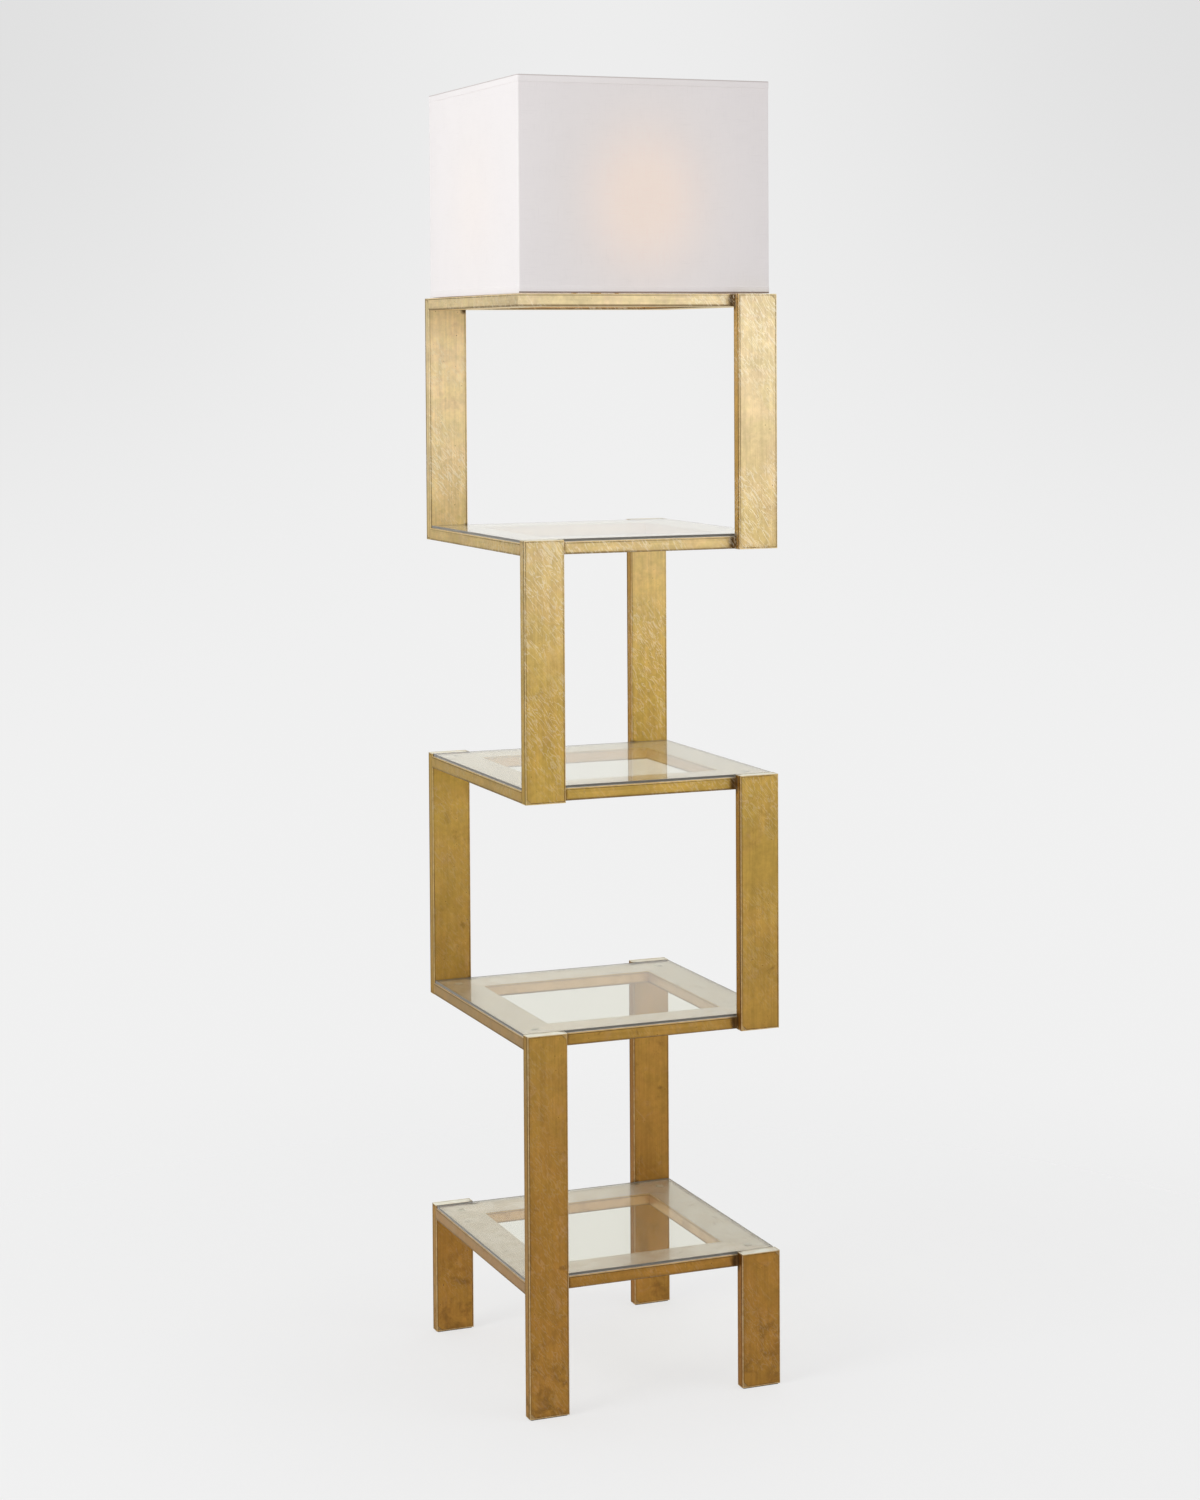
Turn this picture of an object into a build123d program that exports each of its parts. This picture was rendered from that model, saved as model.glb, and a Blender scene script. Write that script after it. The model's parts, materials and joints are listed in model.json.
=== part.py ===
"""Shelf floor lamp in millimetres: floor at z = 0, lamp axis on x = y = 0, front towards -y.

Five square frames of flat tube carry four glass shelves and the lamp holder. Posts of the same
tube stand outside the front and back faces, on one diagonal per bay, and the diagonal changes
from bay to bay. A square hard-backed shade hangs from a harp over the top frame.
"""

from build123d import *
from math import cos, radians, sin, sqrt
import os

# Framework of flat steel tube
frame_side = 330.0  # outside of each square frame
bar_width = 51.0  # wide face of the tube
bar_thick = 15.0  # narrow edge of the tube
bar_wall = 1.2
bar_arris = 0.9  # flat across the tube's long edges
lowest_frame_top = 164.0  # floor to the metal top of the lowest frame
bay_pitch = 295.0  # one frame's top to the next
end_cap_thick = 1.5  # plate let into each end of a post
weld_leg = 2.2  # bead in the corner of post and rail
weld_throat = 0.8  # corner to the bead's hollow face, along each leg
pad_thick = 1.5  # foot pad under each leg
pad_margin = 1.5  # bare edge round a foot pad
pad_corner = 2.0  # clipped corner

# Glass shelves
glass_thick = 3.0
glass_margin = 1.0  # glass edge back from the frame's edge
glass_corner = 2.0  # clipped corner of the sheet, seen from above
glass_arris = 0.4  # ground edge
bumper_side = 10.0
bumper_thick = 0.5

# Lamp holder on the top frame
crossbar_width = 40.0
crossbar_thick = 5.0
nipple_diameter = 9.8
nipple_bore = 6.4
nipple_reach = 8.0  # how far the nipple stands into the socket cap
locknut_flats = 14.3
locknut_thick = 3.5
bush_wall = 2.2
bush_grip = 3.0  # length of bush that covers the nipple
bush_lip = 1.5
bush_arris = 1.0

# Harp and saddle
saddle_thick = 1.2
saddle_span = 57.2  # over the ears
saddle_width = 11.0
saddle_bend = 2.4  # outside radius of the saddle's two bends
ear_width = 6.0
ear_height = 14.5
harp_wire = 3.6
harp_belly = 114.0  # width of the bow between wire centres
harp_shoulder = 44.0  # width of the bow's flat top
harp_flare = 7.2  # height in which the flat foot turns into round wire
harp_leg = 18.0  # leg from the top of the lap to where it starts to spread
harp_spread = 34.0  # height in which the leg reaches the belly
harp_crown = 52.0  # height in which the belly closes to the top
harp_bends = (15.0, 34.0, 52.0, 13.0)  # centre-line radii, from the leg up to the crown
lug_margin = 0.6  # lug beyond the stud's collar
lug_thick = 2.2
rivet_diameter = 4.0
rivet_head_diameter = 7.2
rivet_head_thick = 1.8
collar_diameter = 13.0
collar_thick = 2.5
stud_diameter = 6.3
stud_height = 12.0
ferrule_wall = 0.9
ferrule_height = 13.0
ferrule_arris = 0.4

# Socket
cap_height = 22.0
cap_boss_diameter = 14.0
cap_boss_height = 4.0
cap_wall = 0.8
cap_floor = 1.6  # thickness round the nipple
cap_shoulder = 1.4  # bevel between the cap's cone and its rim
shell_diameter = 33.0
shell_wall = 0.6
shell_length = 47.0
shell_overlap = 7.0  # shell inside the cap's rim
shell_lip = 1.2  # rolled rim of the shell
liner_wall = 0.8
liner_air = 1.45  # liner to thread shell
core_height = 17.0
core_arris = 0.8
thread_shell_wall = 0.5
thread_shell_height = 22.0
contact_diameter = 7.0
contact_thick = 1.0
knob_diameter = 11.0
knob_length = 11.0
knob_blade = 5.0  # thickness left between the knob's two flats
knob_collar = 2.8  # round foot of the knob, below the flats
knob_arris = 1.3
knob_standoff = 11.0  # shell to knob
stem_diameter = 4.4
stem_height = 11.0  # stem axis above the core's foot

# Bulb
bulb_diameter = 60.0
bulb_height = 108.0  # contact tip to crown
bulb_wall = 1.0
bulb_neck_step = 1.0  # neck beyond the screw base
bulb_neck_height = 6.0
bulb_flank_start = 35.0  # degrees below the ball's middle
base_height = 25.0
base_tip_diameter = 9.0
base_tip_height = 1.4
base_cone_diameter = 21.0
base_cone_height = 4.5
base_shoulder = 1.4  # bevel between the cone and the screw

# Shade
shade_margin = 2.0  # shade edge back from the frame's edge
shade_height = 257.0
shade_gap = 1.0  # daylight between top frame and shade
panel_thick = 1.0
panel_round = 2.0  # outside radius of the fold at the shade's corners
ring_wire = 3.4
ring_inset = 4.0  # panel edge to the ring's centre line
arm_wire = 3.0
spider_drop = 20.0  # shade's top edge down to the hub's upper face
hub_diameter = 24.0
hub_thick = 1.6
hub_flat = 12.0  # level start of each arm beyond the hub
hub_lap = 3.0  # arm's end inside the hub's edge

# Finial
finial_flange_diameter = 13.0
finial_flange_thick = 2.5
finial_ball_diameter = 13.0
finial_neck_diameter = 9.0
finial_height = 25.0
finial_bore_spare = 1.0  # bore beyond the stud's end

# Clearances
seat_gap = 0.1  # pieces that rest on each other and turn or lift
slide_gap = 0.05  # radial, shaft in bore
loose_gap = 0.3  # pieces side by side with air between
thread_gap = 0.05  # radial, plain stand-in for a screw thread
hole_gap = 0.2  # radial, bolt hole
passage_gap = 0.4  # radial, switch stem through shell and liner

# Places that follow from the sizes
half_frame = frame_side / 2
rail_centre = half_frame - bar_width / 2
post_centre = half_frame + bar_thick / 2
frame_names = ["lowest", "second", "third", "fourth", "top"]
frame_tops = [lowest_frame_top + bay_pitch * level for level in range(len(frame_names))]
lamp_seat = frame_tops[-1]
glass_rise = bumper_thick + glass_thick
shade_foot = lamp_seat + shade_gap
shade_top = shade_foot + shade_height
shade_side = frame_side - 2 * shade_margin
socket_foot = lamp_seat + saddle_thick


def turned(profile):
    """Solid of revolution about z from a closed list of (radius, height) points."""
    return revolve(Plane.XZ * make_face(Polyline(*profile, close=True)), Axis.Z)


def pipe(outer_diameter, inner_diameter, low, high):
    section = Circle(outer_diameter / 2) - Circle(inner_diameter / 2)
    return Pos(0, 0, low) * extrude(section, high - low)


def rod(diameter, low, high):
    return Pos(0, 0, low) * extrude(Circle(diameter / 2), high - low)


def wire_along(path, diameter):
    start = Plane(origin=path @ 0, z_dir=path % 0)
    return sweep(start * Circle(diameter / 2), path, transition=Transition.RIGHT)


def save(node, *shapes):
    solids = [solid for shape in shapes for solid in shape.solids()]
    export_step(solids[0] if len(solids) == 1 else Compound(children=solids), f"parts/{node}.step")
    print(node, len(solids))


# ---- framework ----


def clipped(length, width, corner):
    """Rectangle with its corners cut off, corner long on each side."""
    outline = Rectangle(length, width)
    return chamfer(outline.vertices(), corner)


def mitred(bar):
    """What lies between the square's two diagonals of a bar along the front."""
    for normal in ((1, -1, 0), (-1, -1, 0)):
        bar = split(bar, bisect_by=Plane(origin=(0, 0, 0), z_dir=normal), keep=Keep.TOP)
    return bar


def four_sides(front):
    return [Rot(0, 0, 90 * turn) * front for turn in range(4)]


def tube_section():
    outline = clipped(bar_width, bar_thick, bar_arris)
    return outline - Rectangle(bar_width - 2 * bar_wall, bar_thick - 2 * bar_wall)


def front_rail(top):
    """Flat tube along the front of a frame, mitred at both ends."""
    place = Plane(origin=(0, -rail_centre, top - bar_thick / 2), x_dir=(0, 1, 0), z_dir=(1, 0, 0))
    return mitred(extrude(place * tube_section(), half_frame, both=True))


def frame_rails():
    for name, top in zip(frame_names, frame_tops):
        for side, rail in zip(("front", "right", "back", "left"), four_sides(front_rail(top))):
            save(f"{name}_frame_{side}_rail", rail)


def post_top(level):
    """Posts end level with the glass; the top frame carries none."""
    top = frame_tops[level]
    return top if top == lamp_seat else top + glass_rise


def frame_foot(level):
    return frame_tops[level] - bar_thick


# name, left or right, front or back, underside, top; the four legs come first
posts = [
    ("short_leg_back_left", -1, 1, pad_thick, post_top(0)),
    ("short_leg_front_right", 1, -1, pad_thick, post_top(0)),
    ("long_leg_front_left", -1, -1, pad_thick, post_top(1)),
    ("long_leg_back_right", 1, 1, pad_thick, post_top(1)),
    ("second_bay_post_back_left", -1, 1, frame_foot(1), post_top(2)),
    ("second_bay_post_front_right", 1, -1, frame_foot(1), post_top(2)),
    ("third_bay_post_front_left", -1, -1, frame_foot(2), post_top(3)),
    ("third_bay_post_back_right", 1, 1, frame_foot(2), post_top(3)),
    ("top_bay_post_back_left", -1, 1, frame_foot(3), post_top(4)),
    ("top_bay_post_front_right", 1, -1, frame_foot(3), post_top(4)),
]


def uprights():
    cap_section = Rectangle(bar_width - 2 * bar_wall, bar_thick - 2 * bar_wall)
    caps = []
    for name, side, depth, low, high in posts:
        foot = Pos(side * rail_centre, depth * post_centre, low)
        save(name, foot * extrude(tube_section(), high - low))
        caps.append(foot * extrude(cap_section, end_cap_thick))
        caps.append(foot * Pos(0, 0, high - low - end_cap_thick) * extrude(cap_section, end_cap_thick))
    save("post_end_caps", *caps)


def foot_pads():
    section = clipped(bar_width - 2 * pad_margin, bar_thick - 2 * pad_margin, pad_corner)
    pad = extrude(section, pad_thick)
    legs = posts[:4]
    save("foot_pads", *[Pos(side * rail_centre, depth * post_centre, 0) * pad for _, side, depth, _, _ in legs])


def weld_beads():
    """Hollow-faced beads where a post's inner edge meets the face of a rail."""
    beads = []
    for _, side, depth, low, high in posts:
        for top in frame_tops:
            if not low < top <= high:
                continue
            across = -side * weld_leg
            out = depth * weld_leg
            hollow = ThreePointArc((across, 0), (-side * weld_throat, depth * weld_throat), (0, out))
            section = make_face(Polyline((0, out), (0, 0), (across, 0)) + hollow)
            corner = Pos(side * (half_frame - bar_width), depth * half_frame, top - bar_thick + bar_arris)
            beads.append(corner * extrude(section, bar_thick - 2 * bar_arris, dir=(0, 0, 1)))
    save("weld_beads", *beads)


# ---- shelves ----


def shelves():
    glass_side = frame_side - 2 * glass_margin
    sheet = extrude(clipped(glass_side, glass_side, glass_corner), glass_thick)
    layers = sheet.edges().filter_by(Plane.XY).group_by(Axis.Z)
    sheet = chamfer(layers[0] + layers[-1], glass_arris)
    bumper = extrude(Rectangle(bumper_side, bumper_side), bumper_thick)
    bumpers = []
    for name, top in zip(frame_names[:-1], frame_tops):
        save(f"{name}_glass_shelf", Pos(0, 0, top + bumper_thick) * sheet)
        bumpers += four_sides(Pos(rail_centre, rail_centre, top) * bumper)
    save("shelf_bumpers", *bumpers)


# ---- lamp holder ----


def holder():
    length = frame_side - 2 * bar_width
    bar = Pos(0, 0, lamp_seat - crossbar_thick) * extrude(Rectangle(length, crossbar_width), crossbar_thick)
    hole = rod(nipple_diameter + 2 * hole_gap, lamp_seat - crossbar_thick, lamp_seat)
    save("holder_crossbar", bar - hole)

    nut_foot = lamp_seat - crossbar_thick - locknut_thick
    hexagon = RegularPolygon(locknut_flats / 2, 6, major_radius=False)
    nut = Pos(0, 0, nut_foot) * extrude(hexagon - Circle(nipple_diameter / 2 + thread_gap), locknut_thick)
    save("nipple_locknut", nut)

    nipple_foot = nut_foot - bush_grip
    save("threaded_nipple", pipe(nipple_diameter, nipple_bore, nipple_foot, socket_foot + nipple_reach))

    grip = nipple_diameter / 2 + thread_gap
    body = grip + bush_wall
    bush_foot = nipple_foot - bush_lip
    bush = turned(
        [
            (nipple_bore / 2, bush_foot),
            (body - bush_arris, bush_foot),
            (body, bush_foot + bush_arris),
            (body, nut_foot),
            (grip, nut_foot),
            (grip, nipple_foot),
            (nipple_bore / 2, nipple_foot),
        ]
    )
    save("cord_bush", bush)


def saddle():
    """Strip bent up at both ends, with narrow ears for the harp's feet."""
    rise = saddle_thick + ear_height
    outer = Pos(0, rise) * Rectangle(saddle_span, 2 * rise)
    outer = fillet(outer.vertices().group_by(Axis.Y)[0], saddle_bend)
    inner_span = saddle_span - 2 * saddle_thick
    inner = Pos(0, saddle_thick + rise) * Rectangle(inner_span, 2 * rise)
    inner = fillet(inner.vertices().group_by(Axis.Y)[0], saddle_bend - saddle_thick)
    band = Rectangle(saddle_span, 2 * rise)
    strip = extrude(Plane.XZ * ((outer & band) - inner), saddle_width / 2, both=True)
    waist = (saddle_width - ear_width) / 2
    for side in (-1, 1):
        for face in (-1, 1):
            notch = Box(2 * saddle_bend, waist, rise, align=(Align.CENTER, Align.CENTER, Align.MIN))
            strip -= Pos(side * saddle_span / 2, face * (saddle_width - waist) / 2, saddle_bend) * notch
    strip = Pos(0, 0, lamp_seat) * strip
    save("harp_saddle", strip - rod(nipple_diameter + 2 * hole_gap, lamp_seat, socket_foot))


# The harp's foot laps outside the saddle's ear, and the ferrule holds both.
foot_inside = saddle_span / 2 + seat_gap
foot_centre = foot_inside + saddle_thick / 2
lap_inside = saddle_span / 2 - saddle_thick
lap_centre = (lap_inside + foot_inside + saddle_thick) / 2
lap_reach = sqrt((foot_inside + saddle_thick - lap_centre) ** 2 + (ear_width / 2) ** 2)
hub_top = shade_top - spider_drop
hub_foot = hub_top - hub_thick
collar_foot = hub_foot - seat_gap - collar_thick
lug_foot = collar_foot - lug_thick
harp_top = lug_foot + lug_thick / 2
harp_foot = lamp_seat + loose_gap
lap_top = socket_foot + ear_height + loose_gap


def harp():
    """Bow of round wire with flattened feet and a flattened crown for the swivel stud."""
    leg_top = lap_top + harp_leg
    belly_low = leg_top + harp_spread
    belly_high = harp_top - harp_crown
    half = [
        (foot_centre, lap_top + harp_flare),
        (foot_centre, leg_top),
        (harp_belly / 2, belly_low),
        (harp_belly / 2, belly_high),
        (harp_shoulder / 2, harp_top),
    ]
    route = [(x, 0, z) for x, z in half] + [(-x, 0, z) for x, z in reversed(half)]
    bow = wire_along(FilletPolyline(*route, radius=harp_bends + harp_bends[::-1]), harp_wire)
    for side in (-1, 1):
        flat = Pos(side * foot_centre, 0) * Rectangle(saddle_thick, ear_width)
        bow += Pos(0, 0, harp_foot) * extrude(flat, lap_top - harp_foot)
        round_end = Pos(side * foot_centre, 0) * Circle(harp_wire / 2)
        bow += loft([Plane.XY.offset(lap_top) * flat, Plane.XY.offset(lap_top + harp_flare) * round_end])
    lug_diameter = collar_diameter + 2 * lug_margin
    flattening = rod(lug_diameter, lug_foot - harp_wire, collar_foot + harp_wire)
    bow = bow - flattening + rod(lug_diameter, lug_foot, collar_foot)
    hole = rod(rivet_diameter + 2 * slide_gap, lug_foot, collar_foot)
    save("harp_bow", bow - hole)

    stud = rod(collar_diameter, collar_foot, collar_foot + collar_thick)
    stud += rod(stud_diameter, collar_foot, hub_top + stud_height)
    stud += rod(rivet_diameter, lug_foot, collar_foot)
    stud += rod(rivet_head_diameter, lug_foot - rivet_head_thick, lug_foot)
    save("harp_stud", stud)

    inside = lap_reach + slide_gap
    outside = inside + ferrule_wall
    foot = socket_foot + saddle_bend
    head = foot + ferrule_height
    sleeve = turned(
        [
            (inside, foot),
            (outside - ferrule_arris, foot),
            (outside, foot + ferrule_arris),
            (outside, head - ferrule_arris),
            (outside - ferrule_arris, head),
            (inside, head),
        ]
    )
    save("harp_ferrules", *[Pos(side * lap_centre, 0, 0) * sleeve for side in (-1, 1)])


# ---- socket and bulb ----

cap_top = socket_foot + cap_height
shell_foot = cap_top - shell_overlap
shell_top = shell_foot + shell_length
shell_inside = shell_diameter / 2 - shell_wall
liner_outside = shell_inside - slide_gap
liner_inside = liner_outside - liner_wall
thread_shell_outside = liner_inside - liner_air
thread_shell_inside = thread_shell_outside - thread_shell_wall
base_radius = thread_shell_inside - seat_gap
bulb_neck_radius = base_radius + bulb_neck_step
core_foot = shell_foot + loose_gap
core_top = core_foot + core_height
stem_axis = core_foot + stem_height
bulb_foot = core_top + contact_thick + seat_gap


def across_front(diameter, near, far):
    """Rod along -y at the height of the switch's stem."""
    return Pos(0, 0, stem_axis) * Rot(90, 0, 0) * rod(diameter, near, far)


def socket():
    rim = shell_diameter / 2 + slide_gap + cap_wall
    boss = cap_boss_diameter / 2
    bore = nipple_diameter / 2 + thread_gap
    boss_top = socket_foot + cap_boss_height
    cap = turned(
        [
            (boss, socket_foot),
            (boss, boss_top),
            (rim - cap_shoulder, shell_foot - cap_wall - cap_shoulder),
            (rim, shell_foot - cap_wall),
            (rim, cap_top),
            (rim - cap_wall, cap_top),
            (rim - cap_wall, shell_foot),
            (rim - cap_wall - cap_shoulder, shell_foot - cap_shoulder),
            (boss, boss_top + cap_floor),
            (bore, boss_top + cap_floor),
            (bore, socket_foot),
        ]
    )
    save("socket_cap", cap)

    outside = shell_diameter / 2
    lip_inside = shell_inside - shell_lip
    shell = turned(
        [
            (outside, shell_foot),
            (outside, shell_top),
            (lip_inside, shell_top),
            (lip_inside, shell_top - shell_wall),
            (shell_inside, shell_top - shell_wall),
            (shell_inside, shell_foot),
        ]
    )
    passage = across_front(stem_diameter + 2 * passage_gap, 0, shell_diameter)
    save("socket_shell", shell - passage)

    liner = pipe(2 * liner_outside, 2 * liner_inside, core_foot, shell_top - shell_wall - loose_gap)
    save("socket_liner", liner - passage)

    core = rod(2 * (liner_inside - slide_gap), core_foot, core_top)
    core = chamfer(core.edges().group_by(Axis.Z)[0], core_arris)
    save("socket_core", core - across_front(stem_diameter + 2 * slide_gap, 0, shell_diameter))

    thread_shell_top = core_top + thread_shell_height
    save("thread_shell", pipe(2 * thread_shell_outside, 2 * thread_shell_inside, core_top, thread_shell_top))
    save("centre_contact", rod(contact_diameter, core_top, core_top + contact_thick))


def switch_knob():
    """Round knob on a stem, flattened to a blade that the fingers turn."""
    near = shell_diameter / 2 + knob_standoff
    knob = across_front(knob_diameter, near, near + knob_length)
    knob = chamfer(knob.edges().filter_by(GeomType.CIRCLE), knob_arris)
    for side in (-1, 1):
        flat = Box(knob_diameter, knob_length, knob_diameter)
        shift = side * (knob_blade + knob_diameter) / 2
        knob -= Pos(shift, -near - knob_collar - knob_length / 2, stem_axis) * flat
    save("switch_knob", knob + across_front(stem_diameter, stem_diameter / 2, near))


def bulb():
    ball = bulb_diameter / 2
    crown = bulb_foot + bulb_height
    neck_foot = bulb_foot + base_height
    slope = radians(bulb_flank_start)

    def globe(inset):
        """Pear shape: a ball, a tangent arc down to the neck, and the neck."""
        radius = ball - inset
        centre = crown - ball
        side = (radius * cos(slope), centre - radius * sin(slope))
        crown_arc = ThreePointArc((0, centre + radius), (radius * sin(slope), centre + radius * cos(slope)), side)
        neck = (bulb_neck_radius - inset, neck_foot + bulb_neck_height)
        flank = TangentArc(side, neck, tangent=(-sin(slope), -cos(slope)))
        edge = Polyline(neck, (neck[0], neck_foot), (0, neck_foot), (0, centre + radius))
        return revolve(Plane.XZ * make_face(crown_arc + flank + edge), Axis.Z)

    save("bulb_globe", globe(0) - globe(bulb_wall))

    tip = base_tip_diameter / 2
    cone = base_cone_diameter / 2
    base = turned(
        [
            (0, bulb_foot),
            (tip, bulb_foot),
            (tip, bulb_foot + base_tip_height),
            (cone, bulb_foot + base_cone_height),
            (base_radius, bulb_foot + base_cone_height + base_shoulder),
            (base_radius, neck_foot),
            (0, neck_foot),
        ]
    )
    save("bulb_base", base)


# ---- shade and finial ----


hollow_side = shade_side - 2 * panel_thick
fold = panel_round - panel_thick  # inside radius at the shade's corners
corner_room = (1 - sqrt(0.5)) * fold  # sets the wire back, so that its sharp corner clears the fold
ring_line = hollow_side / 2 - seat_gap - corner_room - ring_wire / 2


def square_ring(height):
    """Ring of round wire with mitred corners."""
    side = Pos(0, -ring_line, height) * Rot(0, 90, 0) * Cylinder(ring_wire / 2, shade_side)
    sides = four_sides(mitred(side))
    return sides[0] + sides[1:]


def shade():
    outline = RectangleRounded(shade_side, shade_side, panel_round)
    wall = outline - RectangleRounded(hollow_side, hollow_side, fold)
    save("shade_panels", *four_sides(mitred(Pos(0, 0, shade_foot) * extrude(wall, shade_height))))
    save("shade_bottom_ring", square_ring(shade_foot + ring_inset))

    ring_height = shade_top - ring_inset
    arm_height = hub_foot + (hub_thick + arm_wire) / 2
    arm_line = Polyline(
        (hub_diameter / 2 - hub_lap, 0, arm_height),
        (hub_diameter / 2 + hub_flat, 0, arm_height),
        (sqrt(2) * ring_line, 0, ring_height),
    )
    arm = wire_along(arm_line, arm_wire)
    frame = square_ring(ring_height) + four_sides(Rot(0, 0, 45) * arm)
    frame += rod(hub_diameter, hub_foot, hub_top)
    over_arms = hub_top + 2 * arm_wire
    frame -= rod(stud_diameter + 2 * seat_gap, hub_foot - arm_wire, over_arms)
    frame -= rod(finial_flange_diameter + 2 * loose_gap, hub_top, over_arms)
    save("shade_spider_frame", frame)


def finial():
    """Turned knob: flange, hollow cove, neck and ball, bored for the stud."""
    foot = hub_top + seat_gap
    ball = finial_ball_diameter / 2
    neck = finial_neck_diameter / 2
    flange = finial_flange_diameter / 2
    flange_top = foot + finial_flange_thick
    cove = flange - neck
    cove_depth = cove * sin(radians(45))
    ball_centre = foot + finial_height - ball
    waist = ball_centre - sqrt(ball**2 - neck**2)
    foot_line = Polyline((0, ball_centre + ball), (0, foot), (flange, foot), (flange, flange_top))
    cove_arc = ThreePointArc(
        (flange, flange_top),
        (flange - cove_depth, flange_top + cove - cove_depth),
        (neck, flange_top + cove),
    )
    neck_line = Line((neck, flange_top + cove), (neck, waist))
    ball_arc = ThreePointArc((neck, waist), (ball, ball_centre), (0, ball_centre + ball))
    body = revolve(Plane.XZ * make_face(foot_line + cove_arc + neck_line + ball_arc), Axis.Z)
    save("finial", body - rod(stud_diameter + 2 * thread_gap, foot, hub_top + stud_height + finial_bore_spare))


os.makedirs("parts", exist_ok=True)
frame_rails()
uprights()
foot_pads()
weld_beads()
shelves()
holder()
saddle()
harp()
socket()
switch_knob()
bulb()
shade()
finial()
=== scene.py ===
import bmesh
import bpy
import json
from math import asin, copysign, cos, degrees, pi, radians, sin, sqrt, tan
from mathutils import Matrix, Vector


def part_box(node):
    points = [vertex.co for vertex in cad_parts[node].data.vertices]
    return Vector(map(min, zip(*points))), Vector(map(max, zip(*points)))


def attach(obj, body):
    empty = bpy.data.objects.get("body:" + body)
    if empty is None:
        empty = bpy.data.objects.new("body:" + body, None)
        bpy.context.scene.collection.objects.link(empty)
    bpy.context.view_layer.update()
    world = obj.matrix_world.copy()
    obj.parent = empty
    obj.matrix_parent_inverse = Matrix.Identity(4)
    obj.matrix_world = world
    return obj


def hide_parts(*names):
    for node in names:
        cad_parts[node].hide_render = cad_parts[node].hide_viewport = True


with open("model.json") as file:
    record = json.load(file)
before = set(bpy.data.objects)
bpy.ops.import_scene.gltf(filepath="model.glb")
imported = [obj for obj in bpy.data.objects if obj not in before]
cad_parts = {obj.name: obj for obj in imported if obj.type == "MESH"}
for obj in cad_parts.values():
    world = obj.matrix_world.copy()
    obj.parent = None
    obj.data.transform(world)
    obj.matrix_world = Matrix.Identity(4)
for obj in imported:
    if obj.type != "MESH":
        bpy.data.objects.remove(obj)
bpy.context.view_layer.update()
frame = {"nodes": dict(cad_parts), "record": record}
nodes = frame["nodes"]
bodies = frame["record"]["behaviour"]["bodies"]
scene = bpy.context.scene
up = Vector((0, 0, 1))
origin = Vector((0, 0, 0))
limits = {"merge": 1e-6, "cut": 1e-7, "onFace": 1e-5, "aligned": 0.999, "level": 0.99}


# node trees

def fill(tree, node, inputs):
    for key, value in inputs.items():
        if isinstance(value, bpy.types.NodeSocket):
            tree.links.new(value, node.inputs[key])
        else:
            node.inputs[key].default_value = value
    return node


def put(tree, kind, inputs=None, **settings):
    node = tree.nodes.new("ShaderNode" + kind)
    for key, value in settings.items():
        setattr(node, key, value)
    return fill(tree, node, inputs or {})


def maths(tree, operation, first, second=0.0, clamp=False):
    return put(tree, "Math", {0: first, 1: second}, operation=operation, use_clamp=clamp).outputs[0]


def plus(tree, first, second, clamp=False):
    return maths(tree, "ADD", first, second, clamp)


def less(tree, first, second):
    return maths(tree, "SUBTRACT", first, second)


def absolute(tree, value):
    return maths(tree, "ABSOLUTE", value)


def times(tree, first, *others):
    for other in others:
        first = maths(tree, "MULTIPLY", first, other)
    return first


def most(tree, first, *others):
    for other in others:
        first = maths(tree, "MAXIMUM", first, other)
    return first


def summed(tree, first, *terms):  # adds each value times its weight
    for value, weight in terms:
        first = plus(tree, first, times(tree, value, weight))
    return first


def swing(tree, value, reach):  # noise taken about its middle
    return times(tree, less(tree, value, 0.5), reach)


def vectorMaths(tree, operation, first, second=(0, 0, 0)):
    return put(tree, "VectorMath", {0: first, 1: second}, operation=operation).outputs


def rise(tree, value, low, high, toLow=0.0, toHigh=1.0):  # smooth step from low to high
    ends = {"Value": value, "From Min": low, "From Max": high, "To Min": toLow, "To Max": toHigh}
    return put(tree, "MapRange", ends, interpolation_type="SMOOTHSTEP").outputs[0]


def noise(tree, place, scale, detail=3.0, rough=0.55, twist=0.0):
    inputs = {"Vector": place, "Scale": scale, "Detail": detail, "Roughness": rough, "Distortion": twist}
    return put(tree, "TexNoise", inputs).outputs[0]


def blendColour(tree, share, first, second, mode="MIX"):
    node = put(tree, "Mix", {0: share, 6: first, 7: second}, data_type="RGBA", blend_type=mode)
    return node.outputs[2]


def tint(tree, first, second):
    return blendColour(tree, 1.0, first, second, "MULTIPLY")


def grey(tree, value):
    return put(tree, "CombineXYZ", {0: value, 1: value, 2: value}).outputs[0]


def stretch(tree, place, scale, turn=(0, 0, 0)):
    inputs = {"Vector": place, "Scale": scale, "Rotation": [radians(angle) for angle in turn]}
    return put(tree, "Mapping", inputs).outputs[0]


def slanted(tree, place, turn, scale):  # turned first, then stretched
    return stretch(tree, stretch(tree, place, (1, 1, 1), turn), scale)


def newGroup(name, inputs, outputs):
    kinds = {"value": "NodeSocketFloat", "vector": "NodeSocketVector", "colour": "NodeSocketColor"}
    group = bpy.data.node_groups.new(name, "ShaderNodeTree")
    for socket, kind in inputs.items():
        group.interface.new_socket(name=socket, in_out="INPUT", socket_type=kinds[kind])
    for socket, kind in outputs.items():
        group.interface.new_socket(name=socket, in_out="OUTPUT", socket_type=kinds[kind])
    start = group.nodes.new("NodeGroupInput").outputs
    end = group.nodes.new("NodeGroupOutput").inputs
    return group, start, end


def useGroup(tree, group, inputs):
    node = tree.nodes.new("ShaderNodeGroup")
    node.node_tree = group
    return fill(tree, node, inputs).outputs


def connect(tree, links):
    for source, target in links:
        tree.links.new(source, target)


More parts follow.
